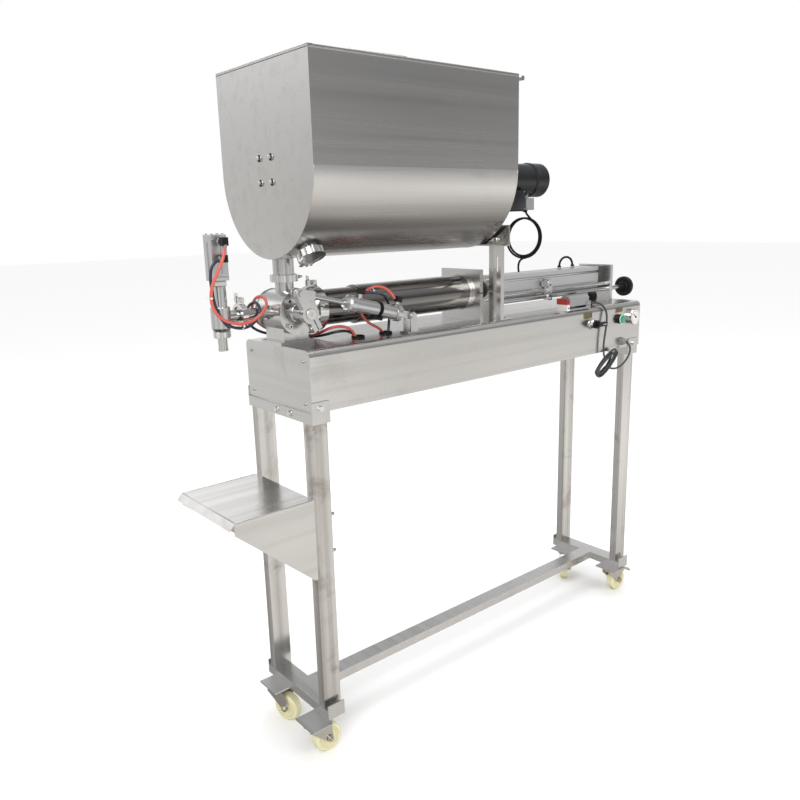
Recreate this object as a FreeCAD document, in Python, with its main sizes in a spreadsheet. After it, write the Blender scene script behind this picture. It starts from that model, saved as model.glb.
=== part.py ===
"""Piston liquid filler: a U-shaped hopper with an agitator feeds a rotary valve, an air-driven piston
draws a dose out of it and pushes the dose through the nozzle. Millimetres, +Z up, front towards -X.
Origin: on the floor, in the middle of the machine's length and width."""
import FreeCAD, Part
import math
import os
import Sketcher
from FreeCAD import Placement, Rotation, Vector

doc = FreeCAD.newDocument("piston_filler")
sheet = doc.addObject("Spreadsheet::Sheet", "Sizes")

# Heights are above the floor. Lengths run back from the front of the beam unless the name says otherwise.
SIZES = {
    "front_reach": 228, "rear_reach": 1361,
    "beam_length": 1308, "beam_half": 143, "beam_bottom": 892, "beam_top": 1038, "beam_bend": 16,
    "beam_gauge": 2,
    "leg_wide": 50, "leg_deep": 25, "leg_gauge": 2, "leg_outer": 131, "leg_foot": 120, "front_leg_at": -2,
    "rear_leg_at": 1245.5,
    "bracket_high": 26, "bracket_gauge": 3, "bracket_ear": 26,
    "rail_high": 25, "rail_half": 143, "rail_gauge": 3, "rail_tab": 14, "stretcher_wide": 46,
    "foot_plate_long": 60, "foot_plate_wide": 80, "foot_plate_gauge": 4,
    "tray_top": 683, "tray_back": -4, "tray_depth": 207, "tray_half": 134, "tray_gauge": 2, "tray_lip": 16,
    "gusset_drop": 204,
    "bolt_radius": 4, "bolt_head": 6.5, "bolt_head_high": 5,
    "hopper_front": 1, "hopper_length": 633.5, "hopper_half": 198, "hopper_top": 1665, "hopper_axis": 1436,
    "hopper_gauge": 2, "hopper_end_gauge": 3, "hinge_radius": 6, "hinge_pin": 2.5, "hinge_back": 15,
    "lid_gauge": 2, "lid_handle_length": 176, "lid_handle_rise": 50, "lid_handle_rod": 5,
    "running_gap": 0.3, "fit_gap": 0.05,
    "saddle_bottom": 1243, "saddle_top": 1298, "saddle_near": -157, "saddle_far": 105, "saddle_gauge": 4,
    "saddle_offset": 12,
    "post_wide": 44, "post_deep": 14, "post_middle": -102, "post_gauge": 3, "post_foot": 46, "post_lap": 30,
    "shaft_radius": 12.5, "paddle_reach": 184, "paddle_wide": 26, "paddle_gauge": 5,
    "gearbox_size": 92, "gearbox_long": 66, "motor_radius": 49, "motor_long": 246, "motor_drop": 12,
    "terminal_box_at": 838, "terminal_box_long": 36, "drain_back": 48,
    "valve_at": 35, "valve_axis": 1115, "valve_radius": 50, "valve_half": 53, "valve_bore": 36,
    "cover_radius": 52, "cover_gauge": 4, "valve_shaft": 14, "arm_inner": -90, "arm_outer": -108,
    "arm_radius": 54.5, "arm_wide": 24, "arm_lean": 26.93,
    "inlet_radius": 25, "inlet_wall": 2, "clamp_radius": 33, "clamp_wide": 16, "inlet_clamp": 1193,
    "nozzle_at": -135.5, "nozzle_axis": 1117, "nozzle_pipe_radius": 13.5, "nozzle_tip_radius": 10.5,
    "nozzle_tip_end": 1041, "nozzle_nut_top": 1088, "tee_radius": 22, "tee_top": 1141,
    "nozzle_cylinder_bottom": 1199, "nozzle_cylinder_top": 1299, "nozzle_cylinder_wide": 37, "nozzle_neck": 16.5,
    "stem_radius": 4, "stem_lift": 15,
    "dose_front": 118, "dose_step": 232, "dose_end": 617, "dose_axis": 1114, "dose_neck": 44,
    "dose_outer": 48.5, "dose_bore": 40, "dose_stroke": 380,
    "clamp_plate_half": 77.5, "clamp_plate_top": 1179, "plate_gauge": 12,
    "mount_plate_at": 695, "mount_plate_half": 60, "mount_plate_top": 1156, "boss_radius": 22.5,
    "air_length": 543, "air_wide": 75, "air_bore": 31.5, "air_cap": 32, "piston_rod_radius": 10,
    "end_plate_half": 64, "guide_radius": 6, "guide_side": -50, "guide_height": 1096,
    "screw_radius": 7, "screw_height": 1078, "block_at": 937, "block_long": 16, "block_half": 10,
    "block_bottom": 1066, "block_top": 1129, "wheel_gap": 78, "handwheel_radius": 32, "handwheel_wide": 18,
    "pivot_at": 338, "pivot_height": 1082, "actuator_side": -99, "barrel_radius": 17, "barrel_cap": 21,
    "barrel_near": 38, "barrel_long": 164, "rod_radius": 6,
    "selector_at": 1047, "selector_height": 988, "button_at": 1191, "button_height": 989,
    "gauge_at": 1261, "gauge_height": 990, "gland_at": 1207, "gland_height": 915,
    "pedal_front": 926, "pedal_long": 115, "pedal_middle": -120, "pedal_wide": 40, "pedal_high": 38, "pedal_pin": 2.5,
    "regulator_at": 1108, "regulator_side": -96, "regulator_radius": 14, "regulator_high": 42,
    "grommet_one": 199, "grommet_two": 287, "grommet_side": -63, "grommet_radius": 17, "grommet_hole": 12,
    "wheel_radius": 37.5, "wheel_wide": 26, "axle_radius": 5, "trail": 35, "fork_gauge": 2.5,
    "brake_pin": 3, "brake_pin_back": 28, "brake_pin_rise": 35.5, "hose_radius": 3.5, "lead_radius": 3,
}
for row, (alias, number) in enumerate(SIZES.items(), start=1):
    sheet.set(f"A{row}", alias)
    sheet.set(f"B{row}", str(number))
    sheet.setAlias(f"B{row}", alias)
doc.recompute()


class Size:
    """A number together with the sheet expression that gives it."""

    def __init__(self, value, text):
        self.value, self.text = value, text

    def joined(self, other, sign, value, swap=False):
        text = other.text if isinstance(other, Size) else repr(float(other))
        pair = (text, self.text) if swap else (self.text, text)
        return Size(value, f"({pair[0]} {sign} {pair[1]})")

    def __add__(self, other):
        return self.joined(other, "+", self.value + number(other))

    def __radd__(self, other):
        return self.joined(other, "+", number(other) + self.value, swap=True)

    def __sub__(self, other):
        return self.joined(other, "-", self.value - number(other))

    def __rsub__(self, other):
        return self.joined(other, "-", number(other) - self.value, swap=True)

    def __mul__(self, other):
        return self.joined(other, "*", self.value * number(other))

    def __rmul__(self, other):
        return self.joined(other, "*", number(other) * self.value, swap=True)

    def __truediv__(self, other):
        return self.joined(other, "/", self.value / number(other))

    def __neg__(self):
        return self * -1


def number(value):
    return value.value if isinstance(value, Size) else float(value)


class Table:
    """Gives each sheet cell by its alias, as a Size."""

    def __getattr__(self, alias):
        return Size(float(sheet.get(alias)), f"Sizes.{alias}")


S = Table()
MIDDLE = (S.rear_reach - S.front_reach) / 2
TURNS = {
    "Z": Rotation(),
    "X": Rotation(Vector(0, 1, 0), 90),
    "-X": Rotation(Vector(0, 1, 0), -90),
    "Y": Rotation(Vector(1, 0, 0), -90),
    "-Y": Rotation(Vector(1, 0, 0), 90),
}
nodes = []


def along_x(distance):
    """A distance back from the beam's front, as an X coordinate from the machine's middle."""
    return distance - MIDDLE


def bind(thing, name, value):
    """Sets a property and ties it to the sheet when it has an expression."""
    if "." not in name:
        setattr(thing, name, number(value))
    if isinstance(value, Size):
        thing.setExpression(name, value.text)


def place(thing, at, turn=None):
    thing.Placement = Placement(Vector(*[number(v) for v in at]), turn or Rotation())
    for axis, value in zip("xyz", at):
        bind(thing, f"Placement.Base.{axis}", value)
    return thing


def node(label, thing):
    """Names a finished sub-part; its label names its file."""
    thing.Label = label
    nodes.append(thing)
    return thing


def box(low, high):
    """A block from one corner to the other; each corner is x, y, z."""
    made = doc.addObject("Part::Box", "block")
    for name, a, b in zip(("Length", "Width", "Height"), low, high):
        bind(made, name, b - a)
    return place(made, low)


def rod(radius, length, at, along="Z", turn=None):
    """A round bar that starts at a point and runs along an axis."""
    made = doc.addObject("Part::Cylinder", "bar")
    bind(made, "Radius", radius)
    bind(made, "Height", length)
    return place(made, at, turn or TURNS[along])


def cone(radius, top_radius, length, at, along="Z"):
    made = doc.addObject("Part::Cone", "taper")
    bind(made, "Radius1", radius)
    bind(made, "Radius2", top_radius)
    bind(made, "Height", length)
    return place(made, at, TURNS[along])


def ring(radius, thickness, at, along="Z"):
    made = doc.addObject("Part::Torus", "ring")
    bind(made, "Radius1", radius)
    bind(made, "Radius2", thickness)
    return place(made, at, TURNS[along])


def fuse(*things):
    made = doc.addObject("Part::MultiFuse", "joined")
    made.Shapes = list(things)
    return made


def cut(base, *tools):
    made = doc.addObject("Part::Cut", "cut")
    made.Base = base
    made.Tool = tools[0] if len(tools) == 1 else fuse(*tools)
    return made


def group(*things):
    """Separate solids kept together, such as a set of identical bolts."""
    made = doc.addObject("Part::Compound", "set")
    made.Links = list(things)
    return made


def plane_of(body, role):
    return next(f for f in body.Origin.OriginFeatures if f.Role == role)


def sketch_on(body, role, outline, holes=()):
    """A closed outline of straight sides and round holes, every corner measured from the origin."""
    drawing = body.newObject("Sketcher::SketchObject", "profile")
    drawing.AttachmentSupport = [(plane_of(body, role), "")]
    drawing.MapMode = "FlatFace"
    points = [Vector(number(a), number(b), 0) for a, b in outline]
    for start, end in zip(points, points[1:] + points[:1]):
        drawing.addGeometry(Part.LineSegment(start, end), False)
    count = len(points)
    for index, (a, b) in enumerate(outline):
        drawing.addConstraint(Sketcher.Constraint("Coincident", (index - 1) % count, 2, index, 1))
        for kind, value in (("DistanceX", a), ("DistanceY", b)):
            made = drawing.addConstraint(Sketcher.Constraint(kind, -1, 1, index, 1, number(value)))
            if isinstance(value, Size):
                drawing.setExpression(f"Constraints[{made}]", value.text)
    for a, b, radius in holes:
        circle = drawing.addGeometry(Part.Circle(Vector(number(a), number(b), 0), Vector(0, 0, 1), number(radius)))
        for kind, value in (("DistanceX", a), ("DistanceY", b)):
            made = drawing.addConstraint(Sketcher.Constraint(kind, -1, 1, circle, 3, number(value)))
            if isinstance(value, Size):
                drawing.setExpression(f"Constraints[{made}]", value.text)
        made = drawing.addConstraint(Sketcher.Constraint("Radius", circle, number(radius)))
        if isinstance(radius, Size):
            drawing.setExpression(f"Constraints[{made}]", radius.text)
    return drawing


def prism(outline, depth, at, role="XY_Plane", holes=()):
    """A padded outline. On XY it rises in +Z, on YZ it runs in +X and on XZ it runs in -Y."""
    body = doc.addObject("PartDesign::Body", "body")
    drawing = sketch_on(body, role, outline, holes)
    pad = body.newObject("PartDesign::Pad", "pad")
    pad.Profile = drawing
    bind(pad, "Length", depth)
    body.Tip = pad
    drawing.Visibility = False
    return place(body, at)


def lathe(profile, at, axis="Z"):
    """A turned piece. The profile is pairs of distance along the axis and radius."""
    body = doc.addObject("PartDesign::Body", "body")
    role = {"X": "XZ_Plane", "Y": "YZ_Plane", "Z": "XZ_Plane"}[axis]
    outline = [(r, a) for a, r in profile] if axis == "Z" else profile
    drawing = sketch_on(body, role, outline)
    turned = body.newObject("PartDesign::Revolution", "turned")
    turned.Profile = drawing
    turned.ReferenceAxis = (drawing, ["V_Axis" if axis == "Z" else "H_Axis"])
    turned.Angle = 360
    body.Tip = turned
    return place(body, at)


def round_off(body, radius, wanted):
    """Rounds the edges of a body whose middle and direction pass the test."""
    doc.recompute()
    base = body.Tip
    names = []
    for index, edge in enumerate(base.Shape.Edges, start=1):
        middle = edge.valueAt((edge.FirstParameter + edge.LastParameter) / 2)
        direction = edge.tangentAt(edge.FirstParameter)
        if wanted(middle, direction):
            names.append(f"Edge{index}")
    fillet = body.newObject("PartDesign::Fillet", "rounded")
    fillet.Base = (base, names)
    bind(fillet, "Radius", radius)
    body.Tip = fillet
    return body


def bolt(at, along="Z", shank=None):
    """A hexagon head, its washer and the stub of its thread, standing out along an axis."""
    head = doc.addObject("Part::Prism", "head")
    head.Polygon = 6
    bind(head, "Circumradius", S.bolt_head)
    bind(head, "Height", S.bolt_head_high)
    place(head, at, TURNS[along])
    washer = rod(S.bolt_head + 1.5, 1.2, at, along)
    if shank is None:
        return fuse(head, washer)
    return fuse(head, washer, rod(S.bolt_radius, shank, at, along))


# ---------------------------------------------------------------- frame
def frame():
    gauge = S.beam_gauge
    outline = [
        (-S.beam_half, S.beam_bottom), (S.beam_half, S.beam_bottom), (S.beam_half, S.beam_top),
        (-S.beam_half, S.beam_top),
    ]
    hollow = [
        (gauge - S.beam_half, S.beam_bottom + gauge), (S.beam_half - gauge, S.beam_bottom + gauge),
        (S.beam_half - gauge, S.beam_top - gauge), (gauge - S.beam_half, S.beam_top - gauge),
    ]
    inside = S.beam_length - gauge * 2
    shell = prism(outline, inside, (along_x(gauge), 0, 0), "YZ_Plane")
    top = S.beam_top.value
    round_off(shell, S.beam_bend, lambda p, d: abs(d.x) > 0.9 and p.z > top - 1)
    core = prism(hollow, inside, (along_x(gauge), 0, 0), "YZ_Plane")
    round_off(core, S.beam_bend - gauge, lambda p, d: abs(d.x) > 0.9 and p.z > top - 3)
    holes = [
        rod(S.grommet_hole + 2, 20, (along_x(at), S.grommet_side, S.beam_top - 10))
        for at in (S.grommet_one, S.grommet_two)
    ]
    node("beam_housing", cut(shell, core, *holes))
    plates = []
    for at in (0, S.beam_length - gauge):
        plate = prism(outline, gauge, (along_x(at), 0, 0), "YZ_Plane")
        plates.append(round_off(plate, S.beam_bend, lambda p, d: abs(d.x) > 0.9 and p.z > top - 1))
    node("beam_end_plates", group(*plates))

    legs, brackets, rails = [], [], []
    leg_top = S.beam_bottom - S.bracket_high
    for start in (S.front_leg_at, S.rear_leg_at):
        near = along_x(start)
        far = near + S.leg_wide
        for side in (-1, 1):
            outer = S.leg_outer * side
            inner = (S.leg_outer - S.leg_deep) * side
            low, high = (outer, inner) if side < 0 else (inner, outer)
            skin = box((near, low, S.leg_foot), (far, high, leg_top))
            wall = S.leg_gauge
            bore = box((near + wall, low + wall, S.leg_foot), (far - wall, high - wall, leg_top))
            legs.append(cut(skin, bore))
        wall = S.bracket_gauge
        channel = cut(
            box((near, -S.beam_half - wall, leg_top), (far, S.beam_half + wall, S.beam_bottom + S.bracket_ear)),
            box((near - 1, -S.beam_half, S.beam_bottom), (far + 1, S.beam_half, S.beam_bottom + S.bracket_ear + 1)),
            box((near + wall, wall - S.beam_half, leg_top + wall), (far - wall, S.beam_half - wall, S.beam_bottom)),
        )
        brackets.append(channel)
        foot = S.leg_foot - S.rail_high
        wall = S.rail_gauge
        rail = cut(
            box((near, -S.rail_half - wall, foot), (far, S.rail_half + wall, S.leg_foot)),
            box((near + wall, -S.rail_half - wall - 1, foot - 1), (far - wall, S.rail_half + wall + 1, S.leg_foot - wall)),
        )
        tabs = []
        for side in (-1, 1):
            low = S.rail_half * side + (0 if side > 0 else -wall)
            tabs.append(box((near, low, foot), (far, low + wall, S.leg_foot + S.rail_tab)))
        rails.append(fuse(rail, *tabs))
    node("leg_tubes", group(*legs))
    node("leg_brackets", group(*brackets))
    node("base_rails", group(*rails, *foot_plates()))
    low = S.leg_foot - S.rail_high + S.rail_gauge * 0
    start = along_x(S.front_leg_at + S.leg_wide)
    end = along_x(S.rear_leg_at)
    half = S.stretcher_wide / 2
    wall = S.leg_gauge
    skin = box((start, -half, low), (end, half, S.leg_foot))
    bore = box((start - 1, wall - half, low + wall), (end + 1, half - wall, S.leg_foot - wall))
    node("stretcher", cut(skin, bore))


CASTERS = (
    # name, distance back, side, heading of the trailing wheel in degrees
    ("front_near", -30.0, -121.0, 0.0),
    ("front_far", -14.0, 84.0, -70.0),
    ("rear_near", 1243.0, -112.0, 0.0),
    ("rear_far", 1243.0, 90.0, -143.0),
)


def foot_plates():
    """The flat plates welded under the rails, one over each caster."""
    top = S.leg_foot - S.rail_high
    half_long, half_wide = S.foot_plate_long / 2, S.foot_plate_wide / 2
    plates = []
    for name, back, side, heading in CASTERS:
        x = along_x(Size(back, repr(back)))
        low = (x - half_long, side - half_wide, top - S.foot_plate_gauge)
        plates.append(box(low, (x + half_long, side + half_wide, top)))
    return plates


def casters():
    plate_top = S.leg_foot - S.rail_high
    plate_low = plate_top - S.foot_plate_gauge
    for name, back, side, heading in CASTERS:
        x = along_x(Size(back, repr(back)))
        gap = S.running_gap
        crown_top = plate_low - gap
        crown_low = plate_low - 9
        inner = S.wheel_wide / 2 + 1.5
        outer = inner + S.fork_gauge
        braked = name == "rear_near"
        pin_x, pin_z = S.trail + S.brake_pin_back, S.wheel_radius + S.brake_pin_rise
        # The fork is made with its wheel trailing along +X from the swivel, then turned to its heading.
        crown = fuse(rod(24, crown_top - crown_low, (0, 0, crown_low)), rod(12, 3, (0, 0, crown_low - 3)))
        cheeks = []
        for face in (-1, 1):
            start = inner if face > 0 else -outer
            back_edge = [(S.trail + 10, S.wheel_radius), (S.trail + 6, crown_low - 4)]
            if braked:
                back_edge = [
                    (S.trail + 10, S.wheel_radius), (S.trail + 14, pin_z - 14), (pin_x + 4, pin_z - 6),
                    (pin_x + 7, pin_z + 2), (pin_x, pin_z + 7), (S.trail, crown_low + 1),
                ]
            outline = [
                (-20, crown_low + 3), (-22, crown_low - 6), (S.trail - 9, S.wheel_radius - 4),
                (S.trail - 3, S.wheel_radius - 9), (S.trail + 5, S.wheel_radius - 8), *back_edge, (20, crown_low + 3),
            ]
            cheeks.append(prism(outline, S.fork_gauge, (0, start + S.fork_gauge, 0), "XZ_Plane"))
        bridge = box((-20, -outer, crown_low), (20, outer, crown_low + 3))
        axle = rod(S.axle_radius, outer * 2 + 4, (S.trail, -outer - 2, S.wheel_radius), "Y")
        nuts = [
            rod(8, 5, (S.trail, -outer, S.wheel_radius), "-Y"), rod(8, 5, (S.trail, outer, S.wheel_radius), "Y"),
        ]
        pins = [rod(S.brake_pin, outer * 2 + 2, (pin_x, -outer - 1, pin_z), "Y")] if braked else []
        fork = fuse(crown, bridge, axle, *nuts, *cheeks, *pins)
        turn = Rotation(Vector(0, 0, 1), heading)
        fork_set = group(fork)
        place(fork_set, (x, side, 0), turn)
        node(f"{name}_fork", fork_set)
        half = S.wheel_wide / 2
        radius = S.wheel_radius
        bore = S.axle_radius + S.fit_gap
        profile = [
            (-half, bore), (-half, 12), (3 - half, 13), (3 - half, radius - 9), (-half, radius - 8),
            (-half, radius - 3), (3 - half, radius), (half - 3, radius), (half, radius - 3), (half, radius - 8),
            (half - 3, radius - 9), (half - 3, 13), (half, 12), (half, bore),
        ]
        wheel = group(lathe(profile, (S.trail, 0, S.wheel_radius), "Y"))
        place(wheel, (x, side, 0), turn)
        node(f"{name}_wheel", wheel)
        if braked:
            wide = inner * 2 - S.running_gap * 2
            outline = [
                (pin_x - 6, pin_z + 1), (pin_x - 3, pin_z + 6), (pin_x + 4, pin_z + 5), (pin_x + 37, pin_z - 13),
                (pin_x + 44, pin_z - 22), (pin_x + 42, pin_z - 26), (pin_x + 34, pin_z - 19), (pin_x + 6, pin_z - 5),
                (pin_x, pin_z - 6), (pin_x - 5, pin_z - 4),
            ]
            pedal = prism(outline, wide, (0, wide / 2, 0), "XZ_Plane", [(pin_x, pin_z, S.brake_pin + S.fit_gap)])
            brake = group(pedal)
            place(brake, (x, side, 0), turn)
            node(f"{name}_brake", brake)


def tray():
    back, depth, gauge = along_x(S.tray_back), S.tray_depth, S.tray_gauge
    half, top = S.tray_half, S.tray_top
    deck = box((back - depth, -half, top - gauge), (back, half, top))
    lip_outline = [
        (0, top), (-S.tray_lip * 0.8, top - S.tray_lip), (-S.tray_lip * 0.8 + 2, top - S.tray_lip), (gauge, top - gauge),
    ]
    lip = prism(lip_outline, half * 2, (back - depth, half, 0), "XZ_Plane")
    rear = box((back, -half, top - S.gusset_drop), (back + gauge, half, top))
    sides = []
    for side in (-1, 1):
        low = half if side < 0 else -half + gauge
        outline = [(0, top), (-depth, top), (-depth, top - 30), (-6, top - S.gusset_drop), (0, top - S.gusset_drop)]
        sides.append(prism(outline, gauge, (back, low, 0), "XZ_Plane"))
    node("bottle_tray", fuse(deck, lip, rear, *sides))


def hopper():
    front = along_x(S.hopper_front)
    rear = front + S.hopper_length
    half, top, axis, gauge, end = S.hopper_half, S.hopper_top, S.hopper_axis, S.hopper_gauge, S.hopper_end_gauge
    outer = fuse(
        box((front, -half, axis), (rear, half, top)), rod(half, S.hopper_length, (front, 0, axis), "X"))
    inner = fuse(
        box((front + end, gauge - half, axis), (rear - end, half - gauge, top + 1)),
        rod(half - gauge, S.hopper_length - end * 2, (front + end, 0, axis), "X"))
    shaft_hole = rod(S.shaft_radius + 2, end + 2, (rear - end - 1, 0, axis), "X")
    outlet = rod(S.inlet_radius - S.inlet_wall, 30, (along_x(S.valve_at), 0, axis - half - 10))
    drain = rod(20, 30, drain_point(-12), turn=drain_turn())
    shell = cut(outer, inner, shaft_hole, outlet, drain)
    pin_x, pin_z = rear + S.hinge_back, top - 5
    knuckle = S.hinge_radius
    parts = [shell]
    for side in (-1, 1):
        low = 158 if side > 0 else -half
        length = half - 158
        parts.append(rod(knuckle, length, (pin_x, low, pin_z), "Y"))
        parts.append(box((rear, low, pin_z - knuckle), (pin_x, low + length, pin_z - knuckle + 3)))
    parts.append(rod(S.hinge_pin, half * 2 - 10, (pin_x, 5 - half, pin_z), "Y"))
    node("hopper_shell", fuse(*parts))

    inside = 158 - 1
    leaf_low = top + 0.3
    barrel = rod(knuckle, inside * 2, (pin_x, -inside, pin_z), "Y")
    leaf = box((rear - 20, -inside, leaf_low), (pin_x, inside, leaf_low + S.lid_gauge))
    plate = box((front, -half, leaf_low), (rear, half, leaf_low + S.lid_gauge))
    handle_mid = along_x(343)
    leg = S.lid_handle_rise
    handle = []
    for side in (-1, 1):
        x = handle_mid + (S.lid_handle_length / 2 - S.lid_handle_rod) * side
        handle.append(rod(S.lid_handle_rod, leg, (x, 0, leaf_low + 1)))
    handle.append(
        rod(S.lid_handle_rod, S.lid_handle_length, (handle_mid - S.lid_handle_length / 2, 0, leaf_low + leg + 1), "X"))
    lid = cut(
        fuse(plate, leaf, barrel, *handle),
        rod(S.hinge_pin + S.fit_gap, inside * 2 + 2, (pin_x, -inside - 1, pin_z), "Y"),
    )
    node("hopper_lid", lid)

    start = front + end + S.running_gap
    reach, wide, thick = S.paddle_reach, S.paddle_wide, S.paddle_gauge
    shaft = rod(S.shaft_radius, S.hopper_length + 6, (start, 0, axis), "X")
    blades = [shaft]
    for place_on in (80, 225, 370, 515):
        x = front + place_on
        blades.append(box((x, -reach, axis - thick / 2), (x + wide, reach, axis + thick / 2)))
    for side in (-1, 1):
        low = reach * side - (thick if side > 0 else 0)
        blades.append(box((front + 50, low, axis - wide / 2), (front + 570, low + thick, axis + wide / 2)))
    node("agitator", fuse(*blades))
    boss = S.shaft_radius + S.fit_gap
    first = cut(
        fuse(box((front + end, -40, axis - 40), (front + end + 8, 40, axis + 40)), rod(26, 26, (front + end, 0, axis), "X")),
        rod(boss, 40, (front + end - 1, 0, axis), "X"))
    last = cut(
        fuse(rod(34, 6, (rear - end, 0, axis), "-X"), rod(24, 20, (rear - end, 0, axis), "-X")),
        rod(boss, 40, (rear + 5, 0, axis), "-X"))
    node("agitator_bearings", group(first, last))


def drain_turn():
    return Rotation(Vector(1, 0, 0), 180 - 28)


def drain_point(out):
    """A point on the drain's own line, measured outwards from the trough."""
    angle = math.radians(28)
    reach = S.hopper_half + out
    return (along_x(S.drain_back), -reach * math.sin(angle), S.hopper_axis - reach * math.cos(angle))


def support():
    rear = along_x(S.hopper_front) + S.hopper_length
    gauge = S.saddle_gauge
    face = rear + S.saddle_offset
    plate = box((face, S.saddle_near, S.saddle_bottom), (face + gauge, S.saddle_far, S.saddle_top))
    shelf = box((rear, S.saddle_near, S.saddle_bottom), (face + gauge, S.saddle_far, S.saddle_bottom + gauge))
    low = S.post_middle - S.post_wide / 2
    high = low + S.post_wide
    wall = S.post_gauge
    x = face + gauge
    top = S.saddle_bottom + S.post_lap
    skin = box((x, low, S.beam_top), (x + S.post_deep, high, top))
    bore = box((x + wall, low + wall, S.beam_top - 1), (x + S.post_deep + 1, high - wall, top + 1))
    slots = []
    for side in (-1, 1):
        y = S.post_middle + 9 * side
        slots.append(box((x - 1, y - 2.5, S.saddle_bottom - 70), (x + wall + 1, y + 2.5, S.saddle_bottom - 30)))
    foot = box((x, low, S.beam_top), (x + S.post_foot, high, S.beam_top + 4))
    node("hopper_support", fuse(plate, shelf, cut(skin, bore, *slots), foot))


def gear_motor():
    rear = along_x(S.hopper_front) + S.hopper_length
    half = S.gearbox_size / 2
    axis = S.hopper_axis
    start = rear + 7
    gearbox = cut(
        fuse(box((start, -half, axis - half), (start + S.gearbox_long, half, axis + half)), rod(30, 7, (rear, 0, axis), "X")),
        rod(S.shaft_radius + S.fit_gap, 16, (rear - 1, 0, axis), "X"))
    r = S.motor_radius
    axis = axis - S.motor_drop
    back = start + S.gearbox_long
    length = S.motor_long
    motor = lathe(
        [(0, 0), (0, r - 6), (8, r - 2), (length - 62, r - 2), (length - 60, r + 1), (length - 52, r + 1),
         (length - 50, r), (length - 8, r), (length, r - 8), (length, 0)],
        (back, 0, axis), "X")
    x = along_x(S.terminal_box_at)
    low = axis - r - 40
    end = x + S.terminal_box_long
    boxes = cut(
        fuse(box((x, -50, low + 2), (end, -8, low + 36)), box((x + 6, -32, low + 34), (end - 6, -8, axis - r + 8)),
             box((x - 74, -50, low), (x - 4, -8, axis - r + 18)), box((x - 5, -44, low + 8), (x + 1, -14, low + 28))),
        rod(r - 2, length, (back, 0, axis), "X"))
    node("gear_motor", group(gearbox, motor, boxes))


def valve():
    x, z, r = along_x(S.valve_at), S.valve_axis, S.valve_radius
    half = S.valve_half
    body = fuse(
        rod(r, half * 2, (x, -half, z), "Y"),
        rod(S.inlet_radius - 3, S.inlet_clamp - z, (x, 0, z)),
        rod(S.clamp_radius - 6, 5, (x, 0, S.inlet_clamp - 5)),
        rod(S.nozzle_pipe_radius + 3, r + 8, (x, 0, S.nozzle_axis), "-X"),
        rod(S.dose_neck - 4, S.dose_front - S.valve_at - 8, (x, 0, S.dose_axis), "X"),
        rod(S.dose_neck + 4, 6, (along_x(S.dose_front - 14), 0, S.dose_axis), "X"),
        box((x - 34, -40, S.beam_top), (x + 34, 40, z - 20)),
        box((x - 46, -46, S.beam_top), (x + 46, 46, S.beam_top + 10)),
    )
    bore = S.valve_bore
    node("valve_body", cut(
        body,
        rod(bore + S.fit_gap, half * 2 + 2, (x, -half - 1, z), "Y"),
        rod(S.inlet_radius - 6, S.inlet_clamp - z + 1, (x, 0, z)),
        rod(S.nozzle_pipe_radius - 2, r + 10, (x, 0, S.nozzle_axis), "-X"),
        rod(26, S.dose_front - S.valve_at, (x, 0, S.dose_axis), "X"),
    ))
    gauge = S.cover_gauge
    shaft = S.valve_shaft
    covers = []
    for side, along in ((-1, "-Y"), (1, "Y")):
        disc = rod(S.cover_radius, gauge, (x, half * side, z), along)
        hub = rod(shaft + 6, 7, (x, half * side, z), along)
        screws = []
        for angle in (45, 135, 225, 315):
            dx = 41 * math.cos(math.radians(angle))
            dz = 41 * math.sin(math.radians(angle))
            screws.append(rod(5, 5, (x + dx, (half + gauge) * side, z + dz), along))
        if side < 0:
            plate = cut(fuse(disc, hub), rod(shaft + S.fit_gap, 20, (x, (half - 1) * side, z), along))
            covers.append(fuse(plate, *screws))
        else:
            covers.append(fuse(disc, *screws))
    node("valve_covers", group(*covers))
    barrel_end = half - S.running_gap
    rotor = fuse(
        cut(rod(bore, barrel_end * 2, (x, -barrel_end, z), "Y"),
            rod(S.inlet_radius - 7, 120, (x, 0, z)),
            rod(24, 120, (x, 0, z), "X")),
        rod(shaft, -S.arm_outer + 2 - barrel_end, (x, S.arm_outer - 2, z), "Y"),
    )
    wide = S.arm_wide / 2
    length = S.arm_radius
    thick = S.arm_inner - S.arm_outer
    blade = prism(
        [(-wide, -42), (wide, -42), (wide, length), (wide * 0.5, length + wide * 0.87),
         (-wide * 0.5, length + wide * 0.87), (-wide, length)],
        thick, (0, S.arm_inner, 0), "XZ_Plane")
    bar = cut(
        fuse(blade, rod(22, thick, (0, S.arm_outer, 0), "Y")),
        rod(shaft + S.fit_gap, thick + 2, (0, S.arm_outer - 1, 0), "Y"),
        box((-1.5, S.arm_outer - 1, -43), (1.5, S.arm_inner + 1, -10)),
    )
    pinch = rod(5, 30, (-15, (S.arm_outer + S.arm_inner) / 2, -33), "X")
    arm = group(fuse(bar, pinch))
    place(arm, (x, 0, z), Rotation(Vector(0, 1, 0), -S.arm_lean.value))
    node("valve_lever", group(rotor, arm))


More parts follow.
